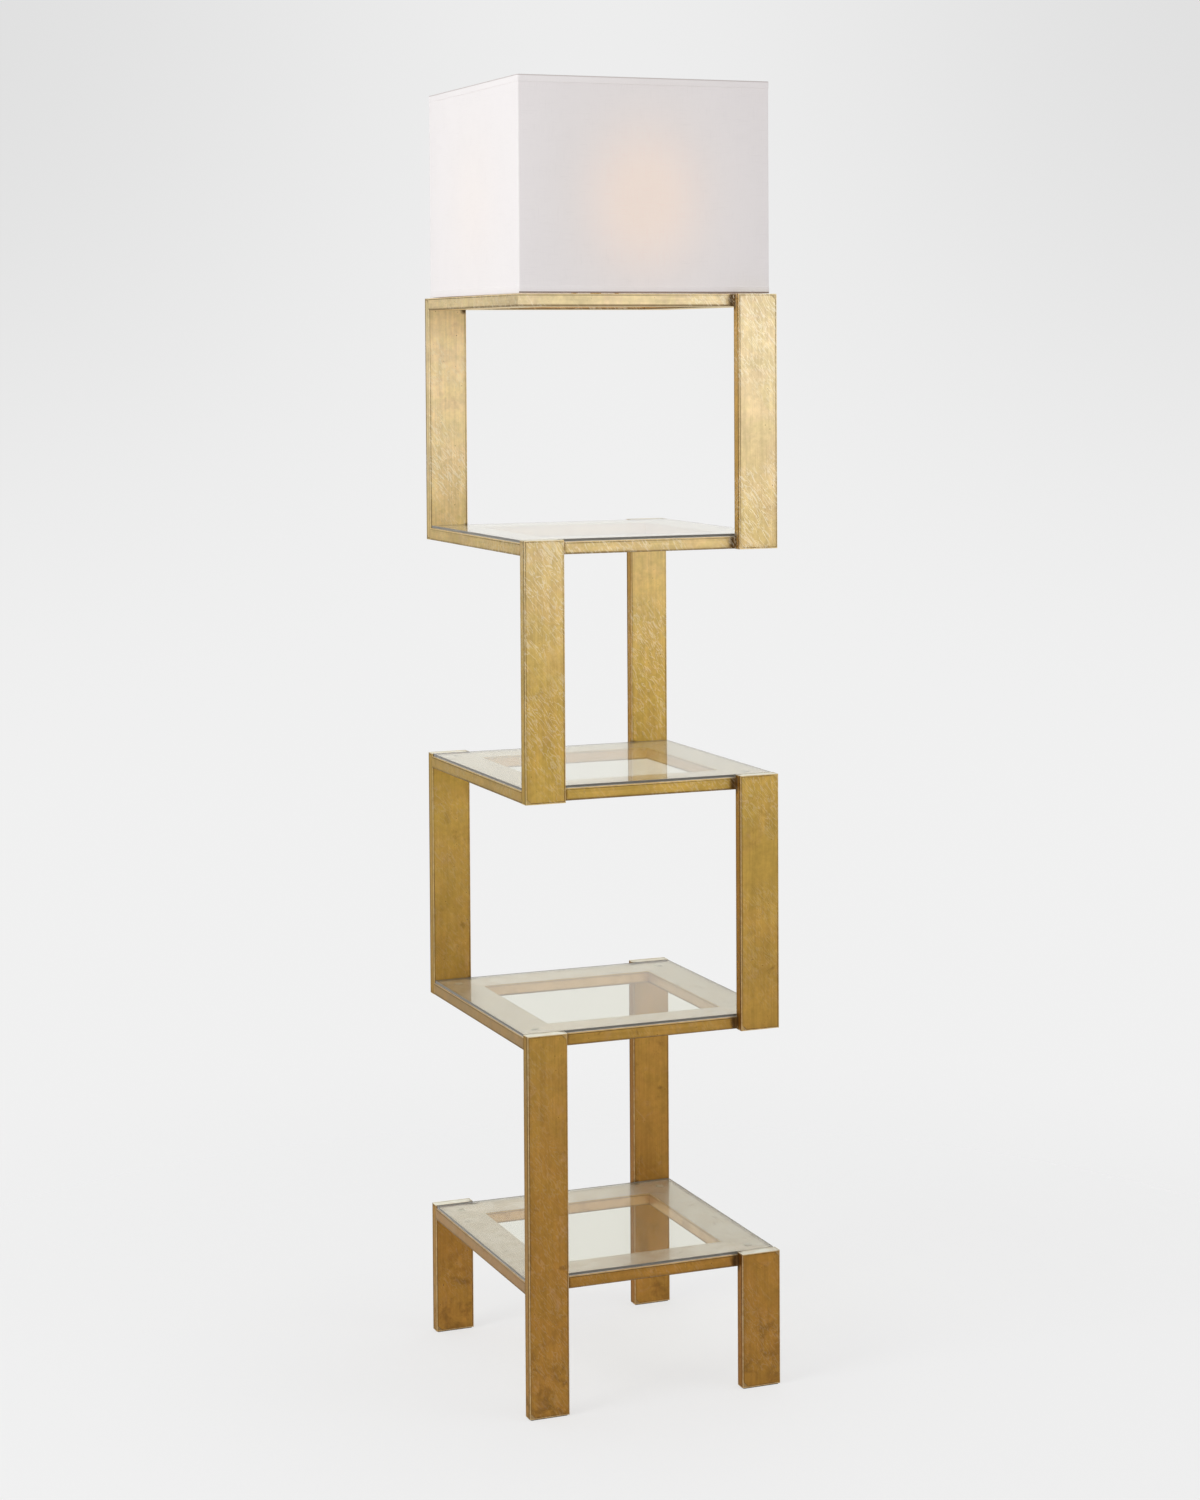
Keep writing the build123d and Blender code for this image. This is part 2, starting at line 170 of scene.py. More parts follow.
def newMaterial(name, settings):
    material = bpy.data.materials.new(name)
    material.use_nodes = True
    tree = material.node_tree
    shader = tree.nodes["Principled BSDF"]
    fill(tree, shader, settings)
    place = put(tree, "TexCoord").outputs["Object"]
    return material, tree, shader, place


def relief(tree, shader, height, strength, depth):
    bump = put(tree, "Bump", {"Height": height, "Strength": strength, "Distance": depth})
    tree.links.new(bump.outputs[0], shader.inputs["Normal"])


# finishes

lowRail, nextRail, topRail = [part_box(level + "_frame_front_rail") for level in ("lowest", "second", "top")]
shadeLow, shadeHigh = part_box("shade_panels")
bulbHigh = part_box("bulb_globe")[1]

# foot, middle and top grade the leaf as painted light falling from above; level and plate are a painted sky
# sheen on the top faces; inner and narrow are painted light and shade on walls and sides
goldColour = {
    "foot": (0.365, 0.185, 0.036, 1), "middle": (0.575, 0.385, 0.092, 1), "top": (0.90, 0.735, 0.44, 1),
    "level": (0.955, 0.905, 0.98, 1), "plate": (0.84, 0.88, 0.80, 1), "inner": (0.84, 0.57, 0.29, 1),
    "darkening": (0.46, 0.44, 0.46, 1), "patina": (0.105, 0.050, 0.014, 1), "worn": (0.92, 0.76, 0.46, 1),
    "bole": (0.55, 0.33, 0.20, 1), "olive": (0.99, 0.99, 0.935, 1), "peach": (1.02, 0.985, 1.0, 1),
    "narrow": (0.84, 0.66, 0.36, 1), "crease": (1.0, 0.93, 0.76, 1), "gloss": (0.95, 0.86, 0.65, 1),
}
goldPlace = {
    "height": topRail[1].z, "pitch": nextRail[1].z - lowRail[1].z,
    "railMiddle": (lowRail[0].z + lowRail[1].z) / 2,
    "weldX": -lowRail[1].y, "weldY": -lowRail[0].y, "weldHalf": 0.006, "weldDrift": 0.006,
}
goldNoise = {  # scale, detail, roughness, distortion
    "cloud": (11.0, 5.0, 0.62, 0.4), "patch": (46.0, 4.0, 0.62, 0.6), "fine": (150.0, 5.0, 0.65),
    "brush": (420.0, 3.0, 0.6), "broadBrush": (95.0, 2.0, 0.5), "hue": (24.0, 4.0, 0.6, 1.0),
    "bole": (31.0, 5.0, 0.62, 0.8), "stain": (38.0, 6.0, 0.68, 0.6), "outline": (90.0, 3.0, 0.7),
    "seam": (60.0, 3.0, 0.7), "crease": (1.0, 2.0, 0.5, 0.9), "creased": (9.0, 2.0),
    "scratch": (1.0, 2.0, 0.5), "scratched": (7.0, 2.0), "speckle": 210.0,
}
goldRamp = {  # from, to, and the result at both ends where it isn't 0 and 1
    "shadedLower": (0.10, 0.72), "litUpper": (0.58, 0.99), "cloud": (0.32, 0.68, 0.95, 1.05),
    "patch": (0.30, 0.70, 0.92, 1.06), "lines": (0.36, 0.64, 0.91, 1.06), "fine": (0.34, 0.66, 0.94, 1.05),
    "back": (-0.17, 0.17, 0.99, 1.06), "underShade": (0.955, 0.99, 1.0, 0.91), "hue": (0.36, 0.64),
    "bole": (0.57, 0.72, 0.0, 0.20), "narrow": (0.0006, 0.0010, 1.0, 0.0), "inner": (0.3, 0.9),
    "innerPatch": (0.30, 0.60, 0.5, 0.8), "level": (0.55, 0.95), "levelPatch": (0.32, 0.66, 0.66, 0.94),
    "sheenSideLight": (-0.15, 0.15, 1.04, 0.86), "sideShaded": (0.35, 0.75, 1.0, 0.0),
    "stain": (0.58, 0.74, 0.0, 0.55), "stainHeight": (0.10, 0.80, 1.0, 0.30),
    "scuff": (0.47, 0.66, 0.0, 0.46), "scuffHeight": (0.03, 0.11, 1.0, 0.0),
    "pit": (0.10, 0.20, 0.75, 0.0), "pitted": (0.54, 0.64), "band": (0.0, 0.95, 0.0, 0.16),
    "bandStain": (0.35, 0.65, 0.0, 1.4), "outlineIn": (0.64, 0.74), "outlineOut": (0.80, 0.88, 1.0, 0.0),
    "outlineBreak": (0.36, 0.60, 0.34, 0.80), "weld": (0.0035, 0.0105, 0.92, 0.0),
    "bareCorner": (0.93, 0.96), "seam": (0.40, 0.66, 0.0, 0.80), "rubbedAndHighlit": (0.74, 0.92),
    "rubbedAndHighlitFine": (0.40, 0.60, 0.50, 0.80),
    "crease": (0.006, 0.045, 1.0, 0.0), "creased": (0.42, 0.58), "creaseHeight": (0.40, 0.90, 0.05, 0.42),
    "scratch": (0.62, 0.74), "scratched": (0.50, 0.62), "scratchHeight": (0.5, 0.95, 0.05, 0.30),
    "rough": (0.3, 0.7, 0.34, 0.46),
}
goldShare = {
    "brush": 0.6, "broadBrush": 0.4, "worn": 0.45, "seamBreak": 0.55,
    "roughLines": 0.26, "roughPatch": 0.24, "roughDark": 0.28,
    "metal": 0.82, "coatRough": 0.22, "coatIndex": 1.5,
    "creaseTurn": (0, 34, 0), "creaseScale": (210.0, 210.0, 46.0),
    "scratchTurn": (0, 42, 0), "scratchScale": (300.0, 300.0, 22.0),
    "bumps": {"lines": 0.40, "fine": 0.45, "patch": 0.9, "pits": -0.8, "scratch": -0.7, "crease": 0.5},
    "bumpStrength": 0.36, "bumpDepth": 0.0004,
}


def ramp(group, value, name):
    return rise(group, value, *goldRamp[name])


def goldBasis(group, start):  # the places and noises that the layers share
    position, grain = start["Position"], start["Grain"]
    x, y, z = put(group, "SeparateXYZ", {0: position}).outputs
    at = {"position": position, "grain": grain, "arris": start["Arris"], "x": x, "y": y, "z": z}
    at["height"] = maths(group, "DIVIDE", z, goldPlace["height"])
    for name in ("cloud", "patch", "fine", "stain"):
        at[name] = noise(group, position, *goldNoise[name])
    brush = times(group, noise(group, grain, *goldNoise["brush"]), goldShare["brush"])
    broad = times(group, noise(group, grain, *goldNoise["broadBrush"]), goldShare["broadBrush"])
    at["lines"] = plus(group, brush, broad)  # brush lines along the bar
    return at


def leafColour(group, start, at):  # darker at the foot and pale at the top, painted light falling from above; painted shade just under the lamp shade; cloudy all over
    paint = goldColour
    shadedLower = blendColour(group, ramp(group, at["height"], "shadedLower"), paint["foot"], paint["middle"])
    colour = blendColour(group, ramp(group, at["height"], "litUpper"), shadedLower, paint["top"])
    tones = [ramp(group, at[name], name) for name in ("cloud", "patch", "lines", "fine")]
    tones.append(ramp(group, at["y"], "back"))  # back posts painted lighter: painted light
    tones.append(ramp(group, at["height"], "underShade"))
    colour = tint(group, colour, grey(group, times(group, *tones, start["Tone"])))
    hue = ramp(group, noise(group, at["position"], *goldNoise["hue"]), "hue")
    colour = tint(group, colour, blendColour(group, hue, paint["olive"], paint["peach"]))
    bole = ramp(group, noise(group, at["position"], *goldNoise["bole"]), "bole")
    return blendColour(group, bole, colour, paint["bole"])


def faceColour(group, start, at, colour):  # painted shade on the posts' narrow inner sides, painted light on the openings' walls, painted sky sheen on the level faces
    paint = goldColour
    # the posts' narrow inner sides darkened: painted shade
    edge = absolute(group, less(group, absolute(group, at["x"]), goldPlace["weldX"]))
    narrow = times(group, ramp(group, edge, "narrow"), start["ShadedNarrow"])
    colour = blendColour(group, narrow, colour, tint(group, colour, paint["narrow"]))
    # painted light: the walls round the openings get a brighter, warmer gold than their shading gives
    inner = times(group, ramp(group, start["Inner"], "inner"), ramp(group, at["patch"], "innerPatch"))
    colour = blendColour(group, inner, colour, paint["inner"])
    sheenAndLacquer = times(group, ramp(group, start["Top"], "level"), ramp(group, at["patch"], "levelPatch"))
    level = tint(group, start["Level"], grey(group, ramp(group, at["x"], "sheenSideLight")))
    colour = blendColour(group, sheenAndLacquer, colour, level)  # painted pale sheen of the sky on the level faces, lighter to the left; the same mask gives them a real lacquer coat
    # side rails greyed towards the foot: painted shade
    sideShaded = times(group, start["SideShade"], ramp(group, at["height"], "sideShaded"))
    return blendColour(group, sideShaded, colour, paint["darkening"]), sheenAndLacquer


def weldMask(group, at):  # darker round the corners where the rails meet the posts
    place = goldPlace
    fromLevel = less(group, at["z"], place["railMiddle"])
    ends = {0: fromLevel, 1: -place["pitch"] / 2, 2: place["pitch"] / 2}
    fromLevel = absolute(group, put(group, "Math", ends, operation="WRAP").outputs[0])
    away = put(group, "CombineXYZ", {
        0: less(group, absolute(group, at["x"]), place["weldX"]),
        1: less(group, absolute(group, at["y"]), place["weldY"]),
        2: most(group, less(group, fromLevel, place["weldHalf"]), 0.0),
    }).outputs[0]
    away = vectorMaths(group, "LENGTH", away)["Value"]
    weld = ramp(group, plus(group, away, swing(group, at["fine"], place["weldDrift"])), "weld")
    diagonal = maths(group, "GREATER_THAN", times(group, at["x"], at["y"]), 0.0)
    # no post meets two of the top corners
    bare = times(group, diagonal, ramp(group, at["height"], "bareCorner"))
    return times(group, weld, less(group, 1.0, bare))


def patinaMasks(group, start, at, sheenAndLacquer):
    stains = times(group, ramp(group, at["stain"], "stain"), ramp(group, at["height"], "stainHeight"))
    scuffed = times(group, ramp(group, at["stain"], "scuff"), ramp(group, at["height"], "scuffHeight"))
    stains = most(group, stains, scuffed)  # the short legs are the most handled
    speckle = put(group, "TexVoronoi", {"Vector": at["position"], "Scale": goldNoise["speckle"]})
    pits = times(group, ramp(group, speckle.outputs["Distance"], "pit"), ramp(group, at["fine"], "pitted"))
    band = times(group, ramp(group, at["arris"], "band"), ramp(group, at["stain"], "bandStain"))
    broken = ramp(group, noise(group, at["grain"], *goldNoise["outline"]), "outlineBreak")
    outline = times(
        group, ramp(group, at["arris"], "outlineIn"), ramp(group, at["arris"], "outlineOut"), broken,
        less(group, 1.0, sheenAndLacquer))
    band = most(group, band, outline)  # patina gathers towards the arrises
    # dark line along one side of each narrow face: patina and mostly painted shade
    drift = swing(group, noise(group, at["grain"], *goldNoise["seam"]), goldShare["seamBreak"])
    seam = ramp(group, plus(group, start["Seam"], drift), "seam")
    return most(group, stains, pits, band, weldMask(group, at), seam), pits, seam


def creaseMask(group, at):  # thin folds of the leaf
    folds = slanted(group, at["position"], goldShare["creaseTurn"], goldShare["creaseScale"])
    folds = absolute(group, less(group, noise(group, folds, *goldNoise["crease"]), 0.5))
    where = noise(group, at["position"], *goldNoise["creased"])
    return times(group, ramp(group, folds, "crease"), ramp(group, where, "creased"))


def scratchMask(group, at):
    lines = slanted(group, at["position"], goldShare["scratchTurn"], goldShare["scratchScale"])
    lines = ramp(group, noise(group, lines, *goldNoise["scratch"]), "scratch")
    where = ramp(group, noise(group, at["position"], *goldNoise["scratched"]), "scratched")
    return times(group, lines, where, ramp(group, at["height"], "scratchHeight"))


def goldGroup():
    group, start, end = newGroup(
        "goldLeafSurface",
        {"Position": "vector", "Grain": "vector", "Tone": "value", "Arris": "value", "Seam": "value",
         "Top": "value", "Inner": "value", "SideShade": "value", "ShadedNarrow": "value", "Level": "colour"},
        {"Colour": "colour", "Roughness": "value", "Height": "value", "SheenAndLacquer": "value"},
    )
    paint, share = goldColour, goldShare
    at = goldBasis(group, start)
    colour, sheenAndLacquer = faceColour(group, start, at, leafColour(group, start, at))
    dark, at["pits"], seam = patinaMasks(group, start, at, sheenAndLacquer)
    colour = blendColour(group, dark, colour, paint["patina"])
    # rubbed leaf on the arrises, also a painted highlight along them
    rubbedAndHighlit = times(group, ramp(group, at["arris"], "rubbedAndHighlit"), ramp(group, at["fine"], "rubbedAndHighlitFine"))
    rubbedAndHighlit = times(group, rubbedAndHighlit, less(group, 1.0, seam))
    colour = blendColour(group, rubbedAndHighlit, colour, blendColour(group, share["worn"], colour, paint["worn"]))
    at["crease"] = creaseMask(group, at)
    folded = times(group, at["crease"], ramp(group, at["height"], "creaseHeight"))
    colour = blendColour(group, folded, colour, paint["crease"])
    at["scratch"] = scratchMask(group, at)
    colour = blendColour(group, at["scratch"], colour, paint["worn"])

    rough = ramp(group, at["cloud"], "rough")
    rough = plus(group, rough, swing(group, at["lines"], share["roughLines"]))
    rough = plus(group, rough, swing(group, at["patch"], share["roughPatch"]))
    rough = plus(group, rough, times(group, dark, share["roughDark"]), clamp=True)
    bump = summed(group, 0.0, *[(at[name], weight) for name, weight in share["bumps"].items()])
    connect(group, [
        (colour, end["Colour"]), (rough, end["Roughness"]),
        (bump, end["Height"]), (sheenAndLacquer, end["SheenAndLacquer"])])
    return group


def goldMaterial(name, group, grainScale, level, tone=1.0, darkening=0.0, narrow=0.0):
    material, tree, shader, place = newMaterial(name, {
        "Metallic": goldShare["metal"], "Specular IOR Level": 0.5, "Specular Tint": goldColour["gloss"],
        "Coat Roughness": goldShare["coatRough"], "Coat IOR": goldShare["coatIndex"],
    })
    values = {
        "Position": place, "Grain": stretch(tree, place, grainScale), "Tone": tone, "SideShade": darkening,
        "ShadedNarrow": narrow, "Level": level,
    }
    for mark in ("arris", "seam", "top", "inner"):
        values[mark.capitalize()] = put(tree, "Attribute", attribute_name=mark).outputs["Fac"]
    out = useGroup(tree, group, values)
    connect(tree, [
        (out["Colour"], shader.inputs["Base Color"]), (out["Roughness"], shader.inputs["Roughness"]),
        (out["SheenAndLacquer"], shader.inputs["Coat Weight"])])
    relief(tree, shader, out["Height"], goldShare["bumpStrength"], goldShare["bumpDepth"])
    return material


wear = {
    "blot": (55.0, 5.0, 0.6, 0.5), "fine": (900.0, 2.0, 0.5), "blotRamp": (0.42, 0.72),
    "hairScale": (1500.0, 1500.0, 60.0), "hairTurn": (25, 40, 0), "hair": (1.0, 1.0),
    "hairRamp": (0.70, 0.76, 0.0, 0.5),
    "roughBlot": 0.22, "roughFine": 0.12, "roughHair": 0.10, "bumpFine": 0.5, "bumpHair": -0.6, "bump": 0.3,
}


def wearGroup():  # fine scratches, dust and tone for the small metal and plastic pieces
    group, start, end = newGroup(
        "handledSurface",
        {"Position": "vector", "Colour": "colour", "Tarnish": "colour", "Amount": "value",
         "Base Roughness": "value"},
        {"Colour": "colour", "Roughness": "value", "Height": "value"},
    )
    position = start["Position"]
    fine = noise(group, position, *wear["fine"])
    blot = rise(group, noise(group, position, *wear["blot"]), *wear["blotRamp"])
    mask = times(group, blot, start["Amount"])
    hair = noise(group, stretch(group, position, wear["hairScale"], wear["hairTurn"]), *wear["hair"])
    hair = rise(group, hair, *wear["hairRamp"])
    rough = summed(group, start["Base Roughness"], (mask, wear["roughBlot"]))
    rough = plus(group, rough, swing(group, fine, wear["roughFine"]))
    rough = plus(group, rough, times(group, hair, wear["roughHair"]), clamp=True)
    height = summed(group, times(group, fine, wear["bumpFine"]), (hair, wear["bumpHair"]))
    connect(group, [
        (blendColour(group, mask, start["Colour"], start["Tarnish"]), end["Colour"]),
        (rough, end["Roughness"]), (height, end["Height"])])
    return group


def handledMaterial(group, name, colour, tarnish, amount, rough, depth, settings):
    material, tree, shader, place = newMaterial(name, settings)
    out = useGroup(tree, group, {
        "Position": place, "Colour": colour, "Tarnish": tarnish, "Amount": amount, "Base Roughness": rough})
    connect(tree, [
        (out["Colour"], shader.inputs["Base Color"]), (out["Roughness"], shader.inputs["Roughness"])])
    relief(tree, shader, out["Height"], wear["bump"], depth)
    return material


linen = {
    "cloth": (0.925, 0.910, 0.922, 1), "thread": (0.84, 0.825, 0.838, 1), "glow": (1.0, 0.36, 0.16, 1),
    "power": 0.15, "lining": (0.88, 0.87, 0.85, 1), "liningThread": (0.86, 0.85, 0.83, 1),
    "inside": (1.0, 0.78, 0.52, 1), "insidePower": 0.30,
    "bulbLitTint": (1.0, 0.975, 0.90, 1), "darkening": (0.16, 0.12, 0.09, 1),
    "bulbCentre": (0.0, 0.0, bulbHigh.z - bulbHigh.x), "glowSpread": (1.2, 1.0, 1.0), "glowNear": 0.165,
    "glowDepth": 0.024, "glowAll": 0.26, "slubShade": 0.86,
    "threads": 1500.0, "wanderNoise": (90.0, 2.0), "wander": 0.0012, "weave": 0.5,
    "slubAcross": (40.0, 1.0, 900.0), "slubUp": (900.0, 1.0, 40.0), "slubNoise": (1.0, 3.0, 0.6),
    "slubRamp": (0.50, 0.80), "slubShare": 0.55, "slubHeight": 1.2,
    "cloud": (14.0, 4.0, 0.6), "cloudRamp": (0.35, 0.65, -0.10, 0.10),
    "topRim": (shadeHigh.z - 0.0016, shadeHigh.z - 0.00064, 0.0, 0.42),
    "footRim": (shadeLow.z + 0.00128, shadeLow.z + 0.00192, 0.85, 0.0),
    "surface": {"Roughness": 0.92, "Sheen Weight": 0.15, "Sheen Roughness": 0.6, "Specular IOR Level": 0.25},
    "bump": 0.25, "bumpDepth": 0.0003,
}


def bulbGlow(group, position, slub):  # painted glow of the bulb through the cloth and on the lining; falls off with the distance from the bulb
    away = vectorMaths(group, "SUBTRACT", position, linen["bulbCentre"])[0]
    away = vectorMaths(group, "MULTIPLY", away, linen["glowSpread"])[0]
    away = vectorMaths(group, "LENGTH", away)["Value"]
    glow = maths(group, "DIVIDE", less(group, linen["glowNear"], away), linen["glowDepth"])
    glow = put(group, "Math", {0: glow}, operation="EXPONENT", use_clamp=True).outputs[0]
    shaded = times(group, glow, rise(group, slub, 0.0, 1.0, 1.0, linen["slubShade"]))
    return glow, rise(group, shaded, 0.0, 1.0, linen["glowAll"], 1.0)


def rimLineAndFootShadow(group, x, y, z):  # darker line along the top edge; painted shadow of the gap over the top frame along the foot of the front and back panels
    frontBack = maths(group, "GREATER_THAN", absolute(group, y), absolute(group, x))
    footRim = times(group, rise(group, z, *linen["footRim"]), frontBack)
    return most(group, rise(group, z, *linen["topRim"]), footRim)


def linenGroup():
    group, start, end = newGroup(
        "linenWeave",
        {"Position": "vector", "Cloth": "colour", "Thread": "colour"},
        {"Colour": "colour", "Height": "value", "Glow": "value"},
    )
    x, y, z = put(group, "SeparateXYZ", {0: start["Position"]}).outputs
    across = plus(group, x, y)  # runs round the shade on all four sides
    flat = put(group, "CombineXYZ", {0: across, 1: 0.0, 2: z}).outputs[0]
    wander = swing(group, noise(group, flat, *linen["wanderNoise"]), linen["wander"])
    turns = linen["threads"] * 2 * pi
    warp, weft = [maths(group, "SINE", times(group, plus(group, way, wander), turns)) for way in (across, z)]
    slubs = [
        rise(group, noise(group, stretch(group, flat, linen[way]), *linen["slubNoise"]), *linen["slubRamp"])
        for way in ("slubAcross", "slubUp")]
    slub = most(group, *slubs)
    cloud = rise(group, noise(group, flat, *linen["cloud"]), *linen["cloudRamp"])
    share = plus(group, times(group, slub, linen["slubShare"]), cloud, clamp=True)
    colour = blendColour(group, share, start["Cloth"], start["Thread"])
    warmth, glow = bulbGlow(group, start["Position"], slub)
    # painted light: the cloth's colour warmed where the bulb's glow falls
    colour = blendColour(group, warmth, colour, tint(group, colour, linen["bulbLitTint"]))
    colour = blendColour(group, rimLineAndFootShadow(group, x, y, z), colour, linen["darkening"])
    height = summed(group, times(group, warp, weft, linen["weave"]), (slub, linen["slubHeight"]))
    connect(group, [(colour, end["Colour"]), (height, end["Height"]), (glow, end["Glow"])])
    return group


def linenMaterial(name, group, cloth, thread, glowColour, glowPower):
    material, tree, shader, place = newMaterial(name, linen["surface"])
    out = useGroup(tree, group, {"Position": place, "Cloth": cloth, "Thread": thread})
    glow = blendColour(tree, out["Glow"], (0, 0, 0, 1), glowColour)
    connect(tree, [(out["Colour"], shader.inputs["Base Color"]), (glow, shader.inputs["Emission Color"])])
    shader.inputs["Emission Strength"].default_value = glowPower
    relief(tree, shader, out["Height"], linen["bump"], linen["bumpDepth"])
    return material


glassLook = {
    "coat": 0.28, "coatRough": 0.34, "coatIndex": 1.5,
    "smears": (9.0, 4.0, 0.6, 0.6), "smearFrom": 0.4, "smearTo": 0.75,
    "sheet": ((0.83, 0.825, 0.735, 1), 0.97, 1.10, 0.0, 0.01),  # colour, clearness, index, roughness, smear
    "edge": ((0.24, 0.225, 0.20, 1), 0.6, 1.45, 0.30, 0.12),
}


def glassMaterial(name, colour, clearness, index, rough, smear):
    look = glassLook
    material, tree, shader, place = newMaterial(name, {
        "Base Color": colour, "Transmission Weight": clearness, "IOR": index, "Metallic": 0.0,
        "Coat Weight": look["coat"], "Coat Roughness": look["coatRough"], "Coat IOR": look["coatIndex"],
    })
    cloud = noise(tree, place, *look["smears"])
    smeared = rise(tree, cloud, look["smearFrom"], look["smearTo"], rough, rough + smear)
    clear = put(tree, "BsdfTransparent", {"Color": colour})
    lampRay = put(tree, "LightPath").outputs["Is Shadow Ray"]
    mix = put(tree, "MixShader", {0: lampRay, 1: shader.outputs[0], 2: clear.outputs[0]})
    connect(tree, [
        (smeared, shader.inputs["Roughness"]),
        (mix.outputs[0], tree.nodes["Material Output"].inputs["Surface"])])
    return material


bulbLook = {
    "glass": {"Base Color": (0.95, 0.93, 0.90, 1), "Coat Weight": 0.3, "Emission Strength": 5.0},
    "cool": (0.10, 0.05, 0.02, 1), "hot": (1.0, 0.80, 0.56, 1), "neckRamp": (1.405, 1.45, 0.25, 1.0),
    "cloud": (30.0, 3.0), "cloudRamp": (0.3, 0.7, 0.93, 1.0),
    "frost": (700.0, 2.0), "frostRamp": (0.3, 0.7, 0.42, 0.58),
}


def bulbMaterial():
    look = bulbLook
    material, tree, shader, place = newMaterial("frostedBulb", look["glass"])
    height = put(tree, "SeparateXYZ", {0: place}).outputs[2]
    hot = rise(tree, height, *look["neckRamp"])  # the neck glows less than the ball
    hot = times(tree, hot, rise(tree, noise(tree, place, *look["cloud"]), *look["cloudRamp"]))
    glow = blendColour(tree, hot, look["cool"], look["hot"])
    frost = rise(tree, noise(tree, place, *look["frost"]), *look["frostRamp"])
    connect(tree, [(glow, shader.inputs["Emission Color"]), (frost, shader.inputs["Roughness"])])
    return material


goldSurface = goldGroup()
weave = linenGroup()
finish = {
    # across, the front and back rails, is a little lighter (tone 1.05) and deep, the side rails, is greyed
    # towards the foot: painted light and shade for how each faces the lamps
    "upright": goldMaterial("goldUpright", goldSurface, (1, 1, 0.035), goldColour["plate"], narrow=1.0),
    "across": goldMaterial("goldAcross", goldSurface, (0.035, 1, 1), goldColour["level"], 1.05),
    "deep": goldMaterial("goldDeep", goldSurface, (1, 0.035, 1), goldColour["level"], darkening=0.2),
    "linen": linenMaterial(
        "shadeLinen", weave, *[linen[key] for key in ("cloth", "thread", "glow", "power")]),
    "lining": linenMaterial(
        "shadeLining", weave, *[linen[key] for key in ("lining", "liningThread", "inside", "insidePower")]),
    "glass": glassMaterial("shelfGlass", *glassLook["sheet"]),
    "groundEdge": glassMaterial("groundGlassEdge", *glassLook["edge"]),
    "bulb": bulbMaterial(),
}
metal = {"Metallic": 1.0}
handled = {  # name, colour, tarnish, its amount, roughness, depth of the relief, other settings
    "brass": ("satinBrass", (0.74, 0.53, 0.22, 1), (0.42, 0.25, 0.09, 1), 0.55, 0.26, 0.0001, metal),
    "agedGold": ("agedGoldTurning", (0.86, 0.66, 0.34, 1), (0.36, 0.21, 0.07, 1), 0.7, 0.32, 0.0001, metal),
    "zinc": ("zincPlate", (0.62, 0.63, 0.64, 1), (0.40, 0.40, 0.39, 1), 0.6, 0.34, 0.0001, metal),
    "aluminium": ("rolledAluminium", (0.78, 0.78, 0.77, 1), (0.5, 0.5, 0.49, 1), 0.5, 0.28, 0.0001, metal),
    "blackPlastic": (
        "blackPlastic", (0.018, 0.017, 0.016, 1), (0.05, 0.048, 0.045, 1), 0.5, 0.36, 0.0001, {}),
    "rubber": ("blackRubber", (0.022, 0.022, 0.022, 1), (0.06, 0.056, 0.05, 1), 0.8, 0.74, 0.0002, {}),
    "card": ("insulatingCard", (0.34, 0.24, 0.14, 1), (0.22, 0.15, 0.085, 1), 0.7, 0.82, 0.0002, {}),
    "wire": (
        "whiteWire", (0.86, 0.86, 0.84, 1), (0.62, 0.61, 0.58, 1), 0.4, 0.38, 0.0001, {"Coat Weight": 0.25}),
    "porcelain": ("blackGlaze", (0.02, 0.02, 0.022, 1), (0.05, 0.05, 0.05, 1), 0.4, 0.18, 0.0001, {}),
    "vinyl": ("clearVinyl", (0.90, 0.89, 0.86, 1), (0.8, 0.79, 0.74, 1), 0.3, 0.2, 0.0001, {"Alpha": 0.22}),
}
handledSurface = wearGroup()
for key, look in handled.items():
    finish[key] = handledMaterial(handledSurface, *look)
print("finishes made")


# shaping helpers

def vertsOf(made, key="geom"):
    return [item for item in made[key] if isinstance(item, bmesh.types.BMVert)]


def edgesOf(made, key="geom"):
    return [item for item in made[key] if isinstance(item, bmesh.types.BMEdge)]


def everything(bm):
    return bm.verts[:] + bm.edges[:] + bm.faces[:]


def merge(bm):
    bmesh.ops.remove_doubles(bm, verts=bm.verts, dist=limits["merge"])


def cut(bm, place, normal, clear=False):
    made = bmesh.ops.bisect_plane(
        bm, geom=everything(bm), dist=limits["cut"], plane_co=place, plane_no=normal, clear_outer=clear)
    if clear:
        bmesh.ops.holes_fill(bm, edges=edgesOf(made, "geom_cut"))


def roundOff(bm, edges, offset, segments=2):
    bmesh.ops.bevel(
        bm, geom=edges, offset=offset, offset_type="OFFSET", affect="EDGES",
        segments=segments, profile=0.5, material=-1, clamp_overlap=True)


def block(low, high):
    bm = bmesh.new()
    bmesh.ops.create_cube(bm, size=1)
    bmesh.ops.scale(bm, vec=high - low, verts=bm.verts)
    bmesh.ops.translate(bm, vec=(low + high) / 2, verts=bm.verts)
    return bm


def along(edge, axis):
    way = (edge.verts[1].co - edge.verts[0].co).normalized()
    return abs(way[axis]) > limits["aligned"]


def edgesAlong(bm, axis=2):
    return [edge for edge in bm.edges if along(edge, axis)]


def sharpRings(bm, least=60):  # edges that turn by more than so many degrees
    return [edge for edge in bm.edges if edge.is_manifold and edge.calc_face_angle(0) > radians(least)]


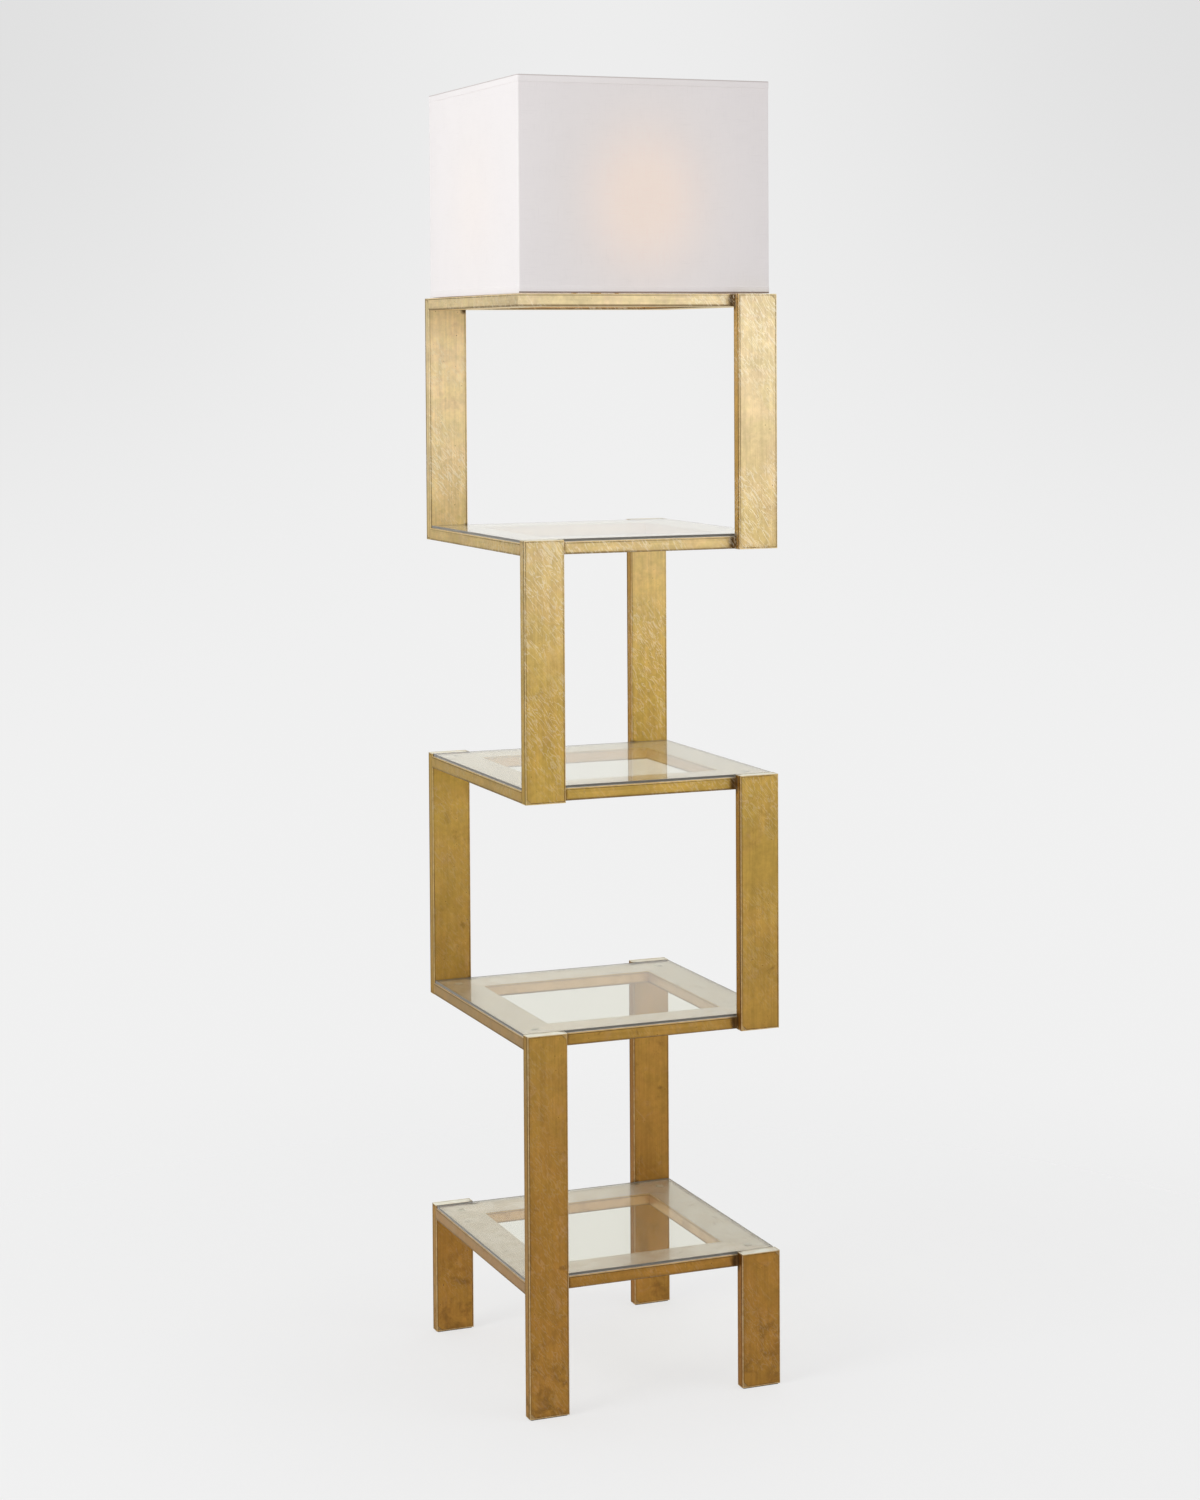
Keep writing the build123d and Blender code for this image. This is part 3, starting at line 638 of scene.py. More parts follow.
def runAlong(bm, edges, route, bends, steps):  # pushes a section along straight runs and round bends
    points = [Vector(point) for point in route]
    spot = points[0]
    heading = (points[1] - points[0]).normalized()
    for here, after, bend in zip(points[1:-1], points[2:], bends):
        turned = (after - here).normalized()
        angle = heading.angle(turned)
        axis = heading.cross(turned).normalized()
        start = here - heading * bend * tan(angle / 2)
        edges = push(bm, edges, start - spot)
        centre = start + axis.cross(heading) * bend
        verts = list({vert for edge in edges for vert in edge.verts})
        made = bmesh.ops.spin(
            bm, geom=verts + edges, cent=centre, axis=axis, angle=angle, steps=steps, use_duplicate=False)
        edges = edgesOf(made, "geom_last")
        spot = here + turned * bend * tan(angle / 2)
        heading = turned
    return push(bm, edges, points[-1] - spot)


def push(bm, edges, way, scale=None, about=None):
    made = bmesh.ops.extrude_edge_only(bm, edges=edges)
    verts = vertsOf(made)
    bmesh.ops.translate(bm, vec=way, verts=verts)
    if scale:
        bmesh.ops.scale(bm, vec=scale, verts=verts, space=Matrix.Translation(-Vector(about)))
    return edgesOf(made)


def ringOf(bm, centre, heading, diameter, sides):
    facing = Vector(heading).to_track_quat("Z", "Y").to_matrix().to_4x4()
    made = bmesh.ops.create_circle(
        bm, cap_ends=False, segments=sides, radius=diameter / 2, matrix=Matrix.Translation(centre) @ facing)
    return list({edge for vert in made["verts"] for edge in vert.link_edges})


def wire(bm, route, bends, diameter, sides=14, steps=6, closed=False):
    first = Vector(route[0])
    start = ringOf(bm, first, Vector(route[1]) - first, diameter, sides)
    last = runAlong(bm, start, route, bends, steps)
    if not closed:
        bmesh.ops.contextual_create(bm, geom=start)
        bmesh.ops.contextual_create(bm, geom=last)


def spun(bm, profile, steps=48, closed=False):
    verts = [bm.verts.new((radius, 0, height)) for radius, height in profile]
    pairs = list(zip(verts, verts[1:])) + ([(verts[-1], verts[0])] if closed else [])
    edges = [bm.edges.new(pair) for pair in pairs]
    bmesh.ops.spin(
        bm, geom=verts + edges, cent=origin, axis=up, angle=2 * pi, steps=steps, use_merge=True,
        use_duplicate=False)
    merge(bm)


def washer(inner, outer, foot, top, steps, edge):  # flat ring or tube with rounded edges
    bm = bmesh.new()
    spun(bm, [(inner, foot), (outer, foot), (outer, top), (inner, top)], steps, closed=True)
    roundOff(bm, sharpRings(bm), edge)
    return bm


def join(bm, other):
    mesh = bpy.data.meshes.new("part")
    other.to_mesh(mesh)
    other.free()
    bm.from_mesh(mesh)
    bpy.data.meshes.remove(mesh)


def arc(centre, radius, start, end, count):  # points in (radius, height), angles in degrees from level
    angles = [radians(start + (end - start) * step / count) for step in range(count + 1)]
    return [(centre[0] + radius * cos(angle), centre[1] + radius * sin(angle)) for angle in angles]


def finishPiece(bm, name, materials, replaced, sharp=32, turnOut=True):
    if turnOut:
        bmesh.ops.recalc_face_normals(bm, faces=bm.faces)
    mesh = bpy.data.meshes.new(name)
    bm.to_mesh(mesh)
    bm.free()
    mesh.polygons.foreach_set("use_smooth", [True] * len(mesh.polygons))
    mesh.set_sharp_from_angle(angle=radians(sharp))
    for material in materials:
        mesh.materials.append(finish[material])
    piece = bpy.data.objects.new(name, mesh)
    scene.collection.objects.link(piece)
    body = next(key for key, members in bodies.items() if replaced[0] in members)
    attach(piece, body)
    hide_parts(*replaced)


def solids(node):  # boxes of the separate solids of one node, in the order of their places
    bm = bmesh.new()
    bm.from_mesh(nodes[node].data)
    merge(bm)
    left = set(bm.verts)
    boxes = []
    while left:
        group = [left.pop()]
        for vert in group:
            near = {edge.other_vert(vert) for edge in vert.link_edges} & left
            left -= near
            group.extend(near)
        lows = [min(vert.co[axis] for vert in group) for axis in range(3)]
        highs = [max(vert.co[axis] for vert in group) for axis in range(3)]
        boxes.append((Vector(lows), Vector(highs)))
    bm.free()
    return sorted(boxes, key=lambda pair: tuple(round(value, 5) for value in pair[0][:]))


def softBlocks(node, corner, edge):  # the blocks of one node with rounded corners and edges
    bm = bmesh.new()
    for low, high in solids(node):
        one = block(low, high)
        roundOff(one, edgesAlong(one), corner, segments=3)
        roundOff(one, sharpRings(one), edge)
        join(bm, one)
    return bm


# framework

bar = {
    "wall": 0.0012, "arris": 0.0009, "arrisSteps": 3, "patina": 0.007, "seam": 0.0055, "weakSeam": 0.5,
    "thin": 2.2, "plateDrop": 0.00025, "plateBevel": 0.0003, "plateTop": 0.92, "touch": 1e-6,
}


def markWear(bm, low, high, square, facing, depth, strongSide, overEdge):
    # arris: 1 on an arris, 0 where the face is clean; seam: 1 where a dark line lies along a narrow face,
    # patina and mostly painted shade; top: the upper faces, which take a painted sky sheen; inner: the walls
    # round a rail's opening
    marks = ("arris", "seam", "top", "inner")
    arris, seam, top, inner = [bm.verts.layers.float.new(mark) for mark in marks]
    for vert in bm.verts:
        away = [min(vert.co[axis] - low[axis], high[axis] - vert.co[axis]) for axis in range(3)]
        near = sorted(away[axis] for axis in square)
        vert[arris] = 1 - min(max(near[1], 0) / bar["patina"], 1)
        vert[top] = high.z - vert.co.z < bar["touch"]
        strong = abs(vert.co[depth] - strongSide) < (high[depth] - low[depth]) / 2
        if overEdge:  # on rails the dark line runs along the lower edge: patina and mostly painted shade under the rail
            vert[inner] = high.y - vert.co.y < bar["touch"]
            vert[seam] = strong and max(away[facing], away[depth]) < bar["wall"] - bar["touch"]
        elif away[facing] < bar["touch"] and abs(away[depth] - bar["wall"]) < bar["touch"]:
            vert[seam] = 1 if strong else bar["weakSeam"]


def loopsNearArris(bm, low, high, axes):
    for axis in axes:
        normal = Vector([float(axis == index) for index in range(3)])
        thin = high[axis] - low[axis] < bar["thin"] * bar["patina"]
        for back in (bar["wall"], bar["seam"] if thin else bar["patina"]):
            cut(bm, low + normal * back, normal)
            cut(bm, high - normal * back, normal)


def frontRail(low, high):
    bm = block(low, high)
    roundOff(bm, edgesAlong(bm, 0), bar["arris"], bar["arrisSteps"])
    loopsNearArris(bm, low, high, (1, 2))
    markWear(bm, low, high, square=(1, 2), facing=1, depth=2, strongSide=low.z, overEdge=True)
    for side in (1, -1):
        cut(bm, origin, Vector((side, 1, 0)), clear=True)
    return bm


def seatFaces(bm, low, high, end):  # the faces of one end that lie inside the wall
    def onSeat(point):
        inset = [min(point[axis] - low[axis], high[axis] - point[axis]) for axis in (0, 1)]
        return abs(point.z - end) < bar["touch"] and min(inset) > bar["wall"] - bar["touch"]
    return [face for face in bm.faces if all(onSeat(vert.co) for vert in face.verts)]


def upright(low, high):
    bm = block(low, high)
    roundOff(bm, edgesAlong(bm), bar["arris"], bar["arrisSteps"])
    loopsNearArris(bm, low, high, (0, 1, 2))
    outside = max(low.y, high.y, key=abs)
    markWear(bm, low, high, square=(0, 1, 2), facing=0, depth=1, strongSide=outside, overEdge=False)
    for end, way in ((low.z, 1), (high.z, -1)):  # seat of the end plate
        seat = seatFaces(bm, low, high, end)
        made = bmesh.ops.extrude_face_region(bm, geom=seat)
        bmesh.ops.translate(bm, vec=up * way * 2 * bar["plateDrop"], verts=vertsOf(made))
        bmesh.ops.delete(bm, geom=seat, context="FACES")
    return bm


def framework():
    frontNames = [name for name in nodes if name.endswith("_front_rail")]
    for front in frontNames:
        low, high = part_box(front)
        for turn, side in enumerate(("front", "right", "back", "left")):
            bm = frontRail(low, high)
            bmesh.ops.rotate(bm, cent=origin, matrix=Matrix.Rotation(turn * pi / 2, 3, "Z"), verts=bm.verts)
            node = front.replace("front", side)
            finishPiece(bm, node + "_bar", ["across" if turn % 2 == 0 else "deep"], [node])
    for node in [name for name in nodes if "_post_" in name or "_leg_" in name]:
        low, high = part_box(node)
        finishPiece(upright(low, high), node + "_bar", ["upright"], [node])


def endPlates():
    bm = bmesh.new()
    for low, high in solids("post_end_caps"):
        drop = up * bar["plateDrop"]
        plate = block(low + drop, high - drop)
        roundOff(plate, plate.edges[:], bar["plateBevel"], segments=1)
        join(bm, plate)
    bmesh.ops.recalc_face_normals(bm, faces=bm.faces)
    # painted sheen of the sky on the plates' top faces
    layer = bm.verts.layers.float.new("top")
    for vert in bm.verts:
        vert[layer] = bar["plateTop"] * (vert.normal.z > 0)
    finishPiece(bm, "post_end_plates", ["upright"], ["post_end_caps"])


bead = {"ripples": 9, "swell": 0.00022, "curve": 4}


def weldBeads():
    bm = bmesh.new()
    for low, high in solids("weld_beads"):
        inner, outer = sorted((low.x, high.x), key=abs)
        face, out = sorted((low.y, high.y), key=abs)
        steps = 2 * bead["ripples"]
        reach = abs(outer - inner)
        wayX = copysign(reach, inner - outer)
        wayY = copysign(reach, out - face)
        corner = Vector((outer, face, low.z))
        angles = [pi / 2 * step / bead["curve"] for step in range(bead["curve"] + 1)]
        points = [corner] + [
            corner + Vector((wayX * (1 - sin(angle)), wayY * (1 - cos(angle)), 0)) for angle in angles]
        section = [bm.verts.new(point) for point in points]
        edges = [bm.edges.new(pair) for pair in zip(section, section[1:] + section[:1])]
        bmesh.ops.contextual_create(bm, geom=edges)
        for step in range(steps):
            grow = 1 + bead["swell"] / reach * (1 if step % 2 == 0 else -1)
            edges = push(bm, edges, up * (high.z - low.z) / steps, (grow, grow, 1), corner)
        bmesh.ops.contextual_create(bm, geom=edges)
    finishPiece(bm, "weld_bead_runs", ["upright"], ["weld_beads"], sharp=60)


pad = {"corner": 0.002, "edge": 0.0004}


def footPads():
    bm = softBlocks("foot_pads", pad["corner"], pad["edge"])
    finishPiece(bm, "rubber_foot_pads", ["rubber"], ["foot_pads"])


framework()
endPlates()
weldBeads()
footPads()
print("framework made")


# shelves

sheet = {"corner": 0.002, "cornerSteps": 4, "arris": 0.0004}


def glassShelves():
    for node in [name for name in nodes if name.endswith("_glass_shelf")]:
        low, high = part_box(node)
        bm = block(low, high)
        roundOff(bm, edgesAlong(bm), sheet["corner"], sheet["cornerSteps"])
        roundOff(bm, sharpRings(bm), sheet["arris"])
        for face in bm.faces:
            face.material_index = 0 if abs(face.normal.z) > limits["level"] else 1
        finishPiece(bm, node + "_sheet", ["glass", "groundEdge"], [node], sharp=8)


bumper = {"corner": 0.0016, "dome": 0.00015}


def bumpers():
    bm = softBlocks("shelf_bumpers", bumper["corner"], bumper["dome"])
    finishPiece(bm, "vinyl_bumpers", ["vinyl"], ["shelf_bumpers"])


glassShelves()
bumpers()
print("shelves made")


# shade

shade = {
    "fold": 0.002, "foldSteps": 4, "panel": 0.001, "hem": 0.0085, "hemProud": 0.00045, "hemInside": 0.010,
    "hemOver": 0.3, "sideCuts": 6, "cutReach": 0.96, "bow": 0.0006, "steep": 0.5,
    "seamWidth": 0.012, "seamProud": 0.0004, "seamRound": 0.8, "seamAside": 0.72,
}


def squareRoute(half, height):
    corners = [(0, -half), (half, -half), (half, half), (-half, half), (-half, -half), (0, -half)]
    return [Vector((x, y, height)) for x, y in corners]


def around(bm, profile, half, fold, height):  # runs a section of (outward, up) points round the shade
    start = [bm.verts.new((0, -half - outward, height + above)) for outward, above in profile]
    edges = [bm.edges.new(pair) for pair in zip(start, start[1:])]
    runAlong(bm, edges, squareRoute(half, height), [fold] * 4, shade["foldSteps"])
    merge(bm)


def bowPanels(bm, half, low, tall):  # the panels draw in a little between their edges
    for vert in bm.verts:
        x, y, z = vert.co
        level = 1 - ((z - low.z) / tall * 2 - 1) ** 2
        if abs(abs(y) - half) < limits["onFace"]:
            vert.co.y -= copysign(shade["bow"] * level * (1 - (x / half) ** 2), y)
        elif abs(abs(x) - half) < limits["onFace"]:
            vert.co.x -= copysign(shade["bow"] * level * (1 - (y / half) ** 2), x)


def shadePanels():
    low, high = shadeLow, shadeHigh
    half = high.x
    tall = high.z - low.z
    cuts = shade["sideCuts"]
    bm = bmesh.new()
    around(bm, [(0, 0), (0, shade["hem"]), (0, tall - shade["hem"]), (0, tall)], half, shade["fold"], low.z)
    bmesh.ops.recalc_face_normals(bm, faces=bm.faces)
    for normal in (Vector((1, 0, 0)), Vector((0, 1, 0))):
        for step in range(1, cuts):
            cut(bm, normal * half * shade["cutReach"] * (2 * step / cuts - 1), normal)
    for step in range(1, cuts):
        cut(bm, Vector((0, 0, low.z + tall * step / cuts)), up)
    bowPanels(bm, half, low, tall)
    bmesh.ops.solidify(bm, geom=bm.faces[:], thickness=shade["panel"])
    for face in bm.faces:
        centre = face.calc_center_median()
        inward = face.normal.x * centre.x + face.normal.y * centre.y < 0
        face.material_index = 1 if inward and abs(face.normal.z) < shade["steep"] else 0
    finishPiece(bm, "linen_shade_panels", ["linen", "lining"], ["shade_panels"], turnOut=False)


def shadeHems():  # the cloth turned over the rings at the top and bottom edges
    hem, inside, proud = shade["hem"], shade["hemInside"], shade["hemProud"]
    over = proud * shade["hemOver"]
    back = -shade["panel"]
    bm = bmesh.new()
    for foot, way in ((shadeLow.z, 1), (shadeHigh.z, -1)):
        profile = [
            (0, way * hem), (proud, way * (hem - proud)), (proud, way * proud), (over, -way * over),
            (back - over, -way * over), (back - proud, way * proud), (back - proud, way * (inside - proud)),
            (back, way * inside),
        ]
        around(bm, profile, shadeHigh.x, shade["fold"], foot)
    finishPiece(bm, "shade_hems", ["linen"], ["shade_panels"])


def shadeSeam():  # overlap of the cloth, up the back
    low, high = shadeLow, shadeHigh
    offset = high.x * shade["seamAside"]
    foot = Vector((offset, high.y - shade["bow"], low.z + shade["hem"]))
    top = Vector((offset + shade["seamWidth"], high.y + shade["seamProud"], high.z - shade["hem"]))
    bm = block(foot, top)
    roundOff(bm, edgesAlong(bm), shade["seamProud"] * shade["seamRound"])
    finishPiece(bm, "shade_back_seam", ["linen"], ["shade_panels"])


ring = {
    "wire": 0.0034, "bend": 0.006,
    "arm": 0.003, "armSides": 12, "armBend": 0.018, "armSteps": 5, "armStart": 0.40,
    "hub": 0.024, "hubThick": 0.0016, "hubPlay": 0.0002, "hubEdge": 0.0003, "hubSteps": 40,
}
stud = {
    "thread": 0.0063, "threadPitch": 0.00094, "threadDepth": 0.00045, "flanks": (0.1, 0.45, 0.65),
    "plain": 0.0018, "tip": 0.0006, "collar": 0.013, "collarThick": 0.0025, "collarEdge": 0.0005,
    "rivet": 0.004, "head": 0.0036, "headFace": 0.0028, "headEdge": 0.0007, "lugThick": 0.0022,
    "aboveHub": 0.012, "play": 0.0001, "steps": 32,
}


def ringWire(half, height):
    bm = bmesh.new()
    wire(bm, squareRoute(half, height), [ring["bend"]] * 4, ring["wire"], closed=True)
    merge(bm)
    return bm


def spiderArms(bm, half, foot, top):
    armHeight = foot + (ring["hubThick"] + ring["arm"]) / 2
    corner = half * sqrt(2) - ring["bend"] * (sqrt(2) - 1)
    reaches = ((ring["hub"] * ring["armStart"], armHeight), (ring["hub"], armHeight), (corner, top))
    for turn in range(4):
        way = Matrix.Rotation(pi / 4 + turn * pi / 2, 3, "Z") @ Vector((1, 0, 0))
        route = [way * reach + up * height for reach, height in reaches]
        wire(bm, route, [ring["armBend"]], ring["arm"], sides=ring["armSides"], steps=ring["armSteps"])


def shadeRings():
    low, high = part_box("shade_bottom_ring")
    half = high.x - ring["wire"] / 2
    bm = ringWire(half, (low.z + high.z) / 2)
    finishPiece(bm, "shade_bottom_wire", ["wire"], ["shade_bottom_ring"])

    low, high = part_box("shade_spider_frame")
    middle = high.z - ring["wire"] / 2
    bm = ringWire(half, middle)
    spiderArms(bm, half, low.z, middle)
    inner = stud["thread"] / 2 + ring["hubPlay"]
    hubTop = low.z + ring["hubThick"]
    join(bm, washer(inner, ring["hub"] / 2, low.z, hubTop, ring["hubSteps"], ring["hubEdge"]))
    finishPiece(bm, "spider_top_wire", ["wire"], ["shade_spider_frame"])


def threadProfile(low, high):  # crests of the stud's fine screw, for a full spin
    radius = stud["thread"] / 2
    root = radius - stud["threadDepth"]
    count = max(int((high - low) / stud["threadPitch"]), 1)
    step = (high - low) / count
    points = []
    for turn in range(count):
        for reach, share in zip((root, radius, radius), stud["flanks"]):
            points.append((reach, low + (turn + share) * step))
    return points


def collarFootHeight():  # where the stud's collar sits on the harp's lug
    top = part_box("harp_stud")[1].z
    return top - stud["aboveHub"] - ring["hubThick"] - stud["play"] - stud["collarThick"]


def harpStud():
    low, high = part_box("harp_stud")
    collarFoot = collarFootHeight()
    collarTop = collarFoot + stud["collarThick"]
    lugFoot = collarFoot - stud["lugThick"]
    rivet, thread, collar = stud["rivet"] / 2, stud["thread"] / 2, stud["collar"] / 2
    head, edge, tip = stud["head"], stud["collarEdge"], stud["tip"]
    profile = [(0, low.z), (stud["headFace"], low.z), (head, low.z + stud["headEdge"]), (head, lugFoot)]
    profile += [(rivet, lugFoot), (rivet, collarFoot)]
    profile += [(collar - edge, collarFoot), (collar, collarFoot + edge)]
    profile += [(collar, collarTop - edge), (collar - edge, collarTop), (thread, collarTop)]
    profile += threadProfile(collarTop + stud["plain"], high.z - tip)
    profile += [(thread - tip, high.z), (0, high.z)]
    bm = bmesh.new()
    spun(bm, profile, stud["steps"])
    finishPiece(bm, "swivel_stud", ["brass"], ["harp_stud"], sharp=40)


shadePanels()
shadeHems()
shadeSeam()
shadeRings()
harpStud()
print("shade made")


# harp

harp = {
    "wire": 0.0036, "sides": 16, "bendSteps": 8, "footThick": 0.0012, "footWide": 0.006, "flare": 0.0072,
    "flareSteps": 5, "shoulder": 0.044, "belly": 0.114, "leg": 0.018, "spread": 0.034, "crown": 0.052,
    "bends": (0.015, 0.034, 0.052, 0.013), "play": 0.0001, "lap": 0.0003,
    "lug": 0.0142, "lugEdge": 0.0004, "lugSteps": 36,
}


def pressFoot(bm, ends, footX, drop):  # the round wire pressed flat, and its straight end
    goals = (harp["footThick"] / harp["wire"], harp["footWide"] / harp["wire"])
    steps = harp["flareSteps"]
    for step in range(1, steps + 1):
        share, before = step / steps, (step - 1) / steps
        grow = [(1 + (goal - 1) * share) / (1 + (goal - 1) * before) for goal in goals]
        ends = push(bm, ends, -up * harp["flare"] / steps, (*grow, 1), (footX, 0, 0))
    ends = push(bm, ends, drop)
    bmesh.ops.contextual_create(bm, geom=ends)


def harpBow():
    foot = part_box("harp_bow")[0].z
    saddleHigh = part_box("harp_saddle")[1]
    lugTop = collarFootHeight()
    lugFoot = lugTop - stud["lugThick"]
    top = (lugTop + lugFoot) / 2
    footX = saddleHigh.x + harp["play"] + harp["footThick"] / 2
    lapTop = saddleHigh.z + harp["lap"]
    legTop = lapTop + harp["leg"]
    half = [
        (footX, lapTop + harp["flare"]), (footX, legTop), (harp["belly"] / 2, legTop + harp["spread"]),
        (harp["belly"] / 2, top - harp["crown"]), (harp["shoulder"] / 2, top),
    ]
    route = [Vector((x, 0, z)) for x, z in half] + [Vector((-x, 0, z)) for x, z in reversed(half)]
    bm = bmesh.new()
    start = ringOf(bm, route[0], up, harp["wire"], harp["sides"])
    last = runAlong(bm, start, route, harp["bends"] + harp["bends"][::-1], harp["bendSteps"])
    for ends, side in ((start, 1), (last, -1)):
        pressFoot(bm, ends, side * footX, up * (foot - lapTop))
    inner = stud["rivet"] / 2 + harp["play"]
    join(bm, washer(inner, harp["lug"] / 2, lugFoot, lugTop, harp["lugSteps"], harp["lugEdge"]))
    finishPiece(bm, "harp_wire_bow", ["brass"], ["harp_bow"])


saddle = {
    "thick": 0.0012, "bend": 0.0024, "bendSteps": 5, "ear": 0.006, "middle": 0.0075, "taper": 0.0006,
    "level": 0.9,
}


def saddlePiece():
    low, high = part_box("harp_saddle")
    bend, middle, taper = saddle["bend"], saddle["middle"], saddle["taper"]
    wide = high.y - low.y
    reach = high.x - bend
    bm = bmesh.new()
    ends = [bm.verts.new((0, side * wide / 2, low.z)) for side in (-1, 1)]
    first = bm.edges.new(ends)
    for side in (1, -1):
        edges = push(bm, [first], Vector((side * middle, 0, 0)))
        edges = push(bm, edges, Vector((side * (reach - middle), 0, 0)))
        verts = list({vert for edge in edges for vert in edge.verts})
        made = bmesh.ops.spin(
            bm, geom=verts + edges, cent=(side * reach, 0, low.z + bend), axis=(0, -side, 0), angle=pi / 2,
            steps=saddle["bendSteps"], use_duplicate=False)
        edges = edgesOf(made, "geom_last")
        edges = push(bm, edges, up * taper, (1, saddle["ear"] / wide, 1), origin)
        push(bm, edges, up * (high.z - low.z - bend - taper))
    merge(bm)
    bmesh.ops.recalc_face_normals(bm, faces=bm.faces)
    level = [face.normal.z for face in bm.faces if abs(face.normal.z) > saddle["level"]]
    if sum(level) > 0:  # the skin faces down, so that it thickens upwards
        bmesh.ops.reverse_faces(bm, faces=bm.faces)
    bmesh.ops.solidify(bm, geom=bm.faces[:], thickness=saddle["thick"])
    finishPiece(bm, "harp_saddle_strip", ["brass"], ["harp_saddle"])


ferrule = {"wall": 0.0009, "edge": 0.0003, "steps": 32}


def ferrules():
    bm = bmesh.new()
    for low, high in solids("harp_ferrules"):
        centre = (low + high) / 2
        radius = (high.x - low.x) / 2
        one = washer(radius - ferrule["wall"], radius, low.z, high.z, ferrule["steps"], ferrule["edge"])
        bmesh.ops.translate(one, vec=(centre.x, centre.y, 0), verts=one.verts)
        join(bm, one)
    finishPiece(bm, "lock_ferrules", ["brass"], ["harp_ferrules"])


harpBow()
saddlePiece()
ferrules()
print("harp made")


# socket, switch and bulb

screw = {
    "pitch": 0.0036, "baseDepth": 0.0006, "shellDepth": 0.00025, "steps": 36, "points": 8,
    "spareTurns": 3, "startBelow": 1.5,
    "shellPlay": 0.00005, "lip": 0.0008, "lipFlare": 1.012, "sheet": 0.0002,
}


def screwSkin(radius, depth, low, high):  # rolled screw thread as one helical skin, cut level at both ends
    bm = bmesh.new()
    pitch, count = screw["pitch"], screw["points"]
    turns = int((high - low) / pitch) + screw["spareTurns"]
    start = low - pitch * screw["startBelow"]
    verts = []
    for step in range(count + 1):
        wave = (1 + cos(2 * pi * step / count)) / 2
        verts.append(bm.verts.new((radius - depth * wave, 0, start + pitch * step / count)))
    edges = [bm.edges.new(pair) for pair in zip(verts, verts[1:])]
    bmesh.ops.spin(
        bm, geom=verts + edges, cent=origin, axis=up, angle=2 * pi * turns, steps=screw["steps"] * turns,
        dvec=up * pitch / screw["steps"], use_duplicate=False)
    merge(bm)
    for height, way in ((low, -1), (high, 1)):
        bmesh.ops.bisect_plane(
            bm, geom=everything(bm), dist=limits["cut"], plane_co=(0, 0, height), plane_no=(0, 0, way),
            clear_outer=True)
    bmesh.ops.recalc_face_normals(bm, faces=bm.faces)
    return bm


def rimEdges(bm, height):
    return [
        edge for edge in bm.edges
        if edge.is_boundary and all(abs(vert.co.z - height) < limits["merge"] for vert in edge.verts)]


def offFrom(radius, height, offsets):  # points of a section, set off from one mark
    return [(radius + outward, height + above) for outward, above in offsets]


cap = {  # the lists are (outward, up) from a mark
    "bore": 0.00495, "boss": 0.007, "bossTall": 0.004, "skirt": 0.0078, "floor": 0.0016, "steps": 56,
    "foot": [(-0.0004, 0), (0, 0.0004)],
    "neck": [(0, -0.0008), (0.0012, 0.0004)],
    "cone": [(-0.0030, -0.0022), (-0.0008, -0.0006), (0, 0.0006)],
    "rim": [(0, -0.0022), (0.0002, -0.0016), (0.0002, -0.0006), (-0.0002, 0)],
    "inside": [(-0.0008, 0), (-0.0008, -0.007), (-0.0022, -0.0084)],
}


def socketCap():
    low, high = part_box("socket_cap")
    bore, boss = cap["bore"], cap["boss"]
    coneFoot = low.z + cap["bossTall"]
    profile = offFrom(boss, low.z, cap["foot"]) + offFrom(boss, coneFoot, cap["neck"])
    profile += offFrom(high.x, high.z - cap["skirt"], cap["cone"])
    profile += offFrom(high.x, high.z, cap["rim"] + cap["inside"])
    profile += [(boss, coneFoot + cap["floor"]), (bore, coneFoot + cap["floor"]), (bore, low.z)]
    bm = bmesh.new()
    spun(bm, profile, cap["steps"], closed=True)
    finishPiece(bm, "socket_cap_shell", ["brass"], ["socket_cap"], sharp=28)


shell = {
    "wall": 0.0006, "bandUp": 0.0105, "bandIn": 0.0004, "bandRound": 0.0010, "bandHalf": 0.0014,
    "rim": 0.0008, "rolled": [(-0.0018, -0.0003), (-0.0018, -0.0009), (-0.0006, -0.0012)], "steps": 56,
}


def socketShell():
    low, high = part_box("socket_shell")
    radius, rim = high.x, shell["rim"]
    band = low.z + shell["bandUp"]
    profile = [(radius, low.z), (radius, band - shell["bandHalf"])]
    profile += arc((radius - shell["bandIn"], band), shell["bandRound"], -60, 60, 6)
    profile += [(radius, band + shell["bandHalf"]), (radius, high.z - 2 * rim)]
    profile += arc((radius - rim, high.z - rim), rim, 0, 120, 6)
    profile += offFrom(radius, high.z, shell["rolled"]) + [(radius - shell["wall"], low.z)]
    bm = bmesh.new()
    spun(bm, profile, shell["steps"], closed=True)
    finishPiece(bm, "socket_outer_shell", ["brass"], ["socket_shell"], sharp=28)


def threadShell():
    low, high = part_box("thread_shell")
    lipFoot = high.z - screw["lip"]
    flare = screw["lipFlare"]
    bm = screwSkin(high.x - screw["shellPlay"], screw["shellDepth"], low.z, lipFoot)
    push(bm, rimEdges(bm, lipFoot), up * screw["lip"], (flare, flare, 1), origin)
    bmesh.ops.solidify(bm, geom=bm.faces[:], thickness=screw["sheet"])
    finishPiece(
        bm, "socket_thread_shell", ["aluminium"], ["thread_shell"], sharp=50, turnOut=False)


turnKnob = {
    "foot": 0.0275, "stem": 0.0022, "collar": 0.0028, "blade": 0.0025, "bladeIn": 0.0006, "dome": 0.0016,
    "stemTip": [(-0.0002, 0), (0, 0.0003)], "collarFoot": [(-0.0008, 0), (0, 0.0008)],
    "collarTop": [(0, -0.0004), (-0.0004, 0), (-0.0006, 0)],
    "ribs": 3, "ribApart": 0.0011, "ribHalf": (0.0003, 0.0002, 0), "ribShort": 0.0018, "ribEdge": 0.00012,
}


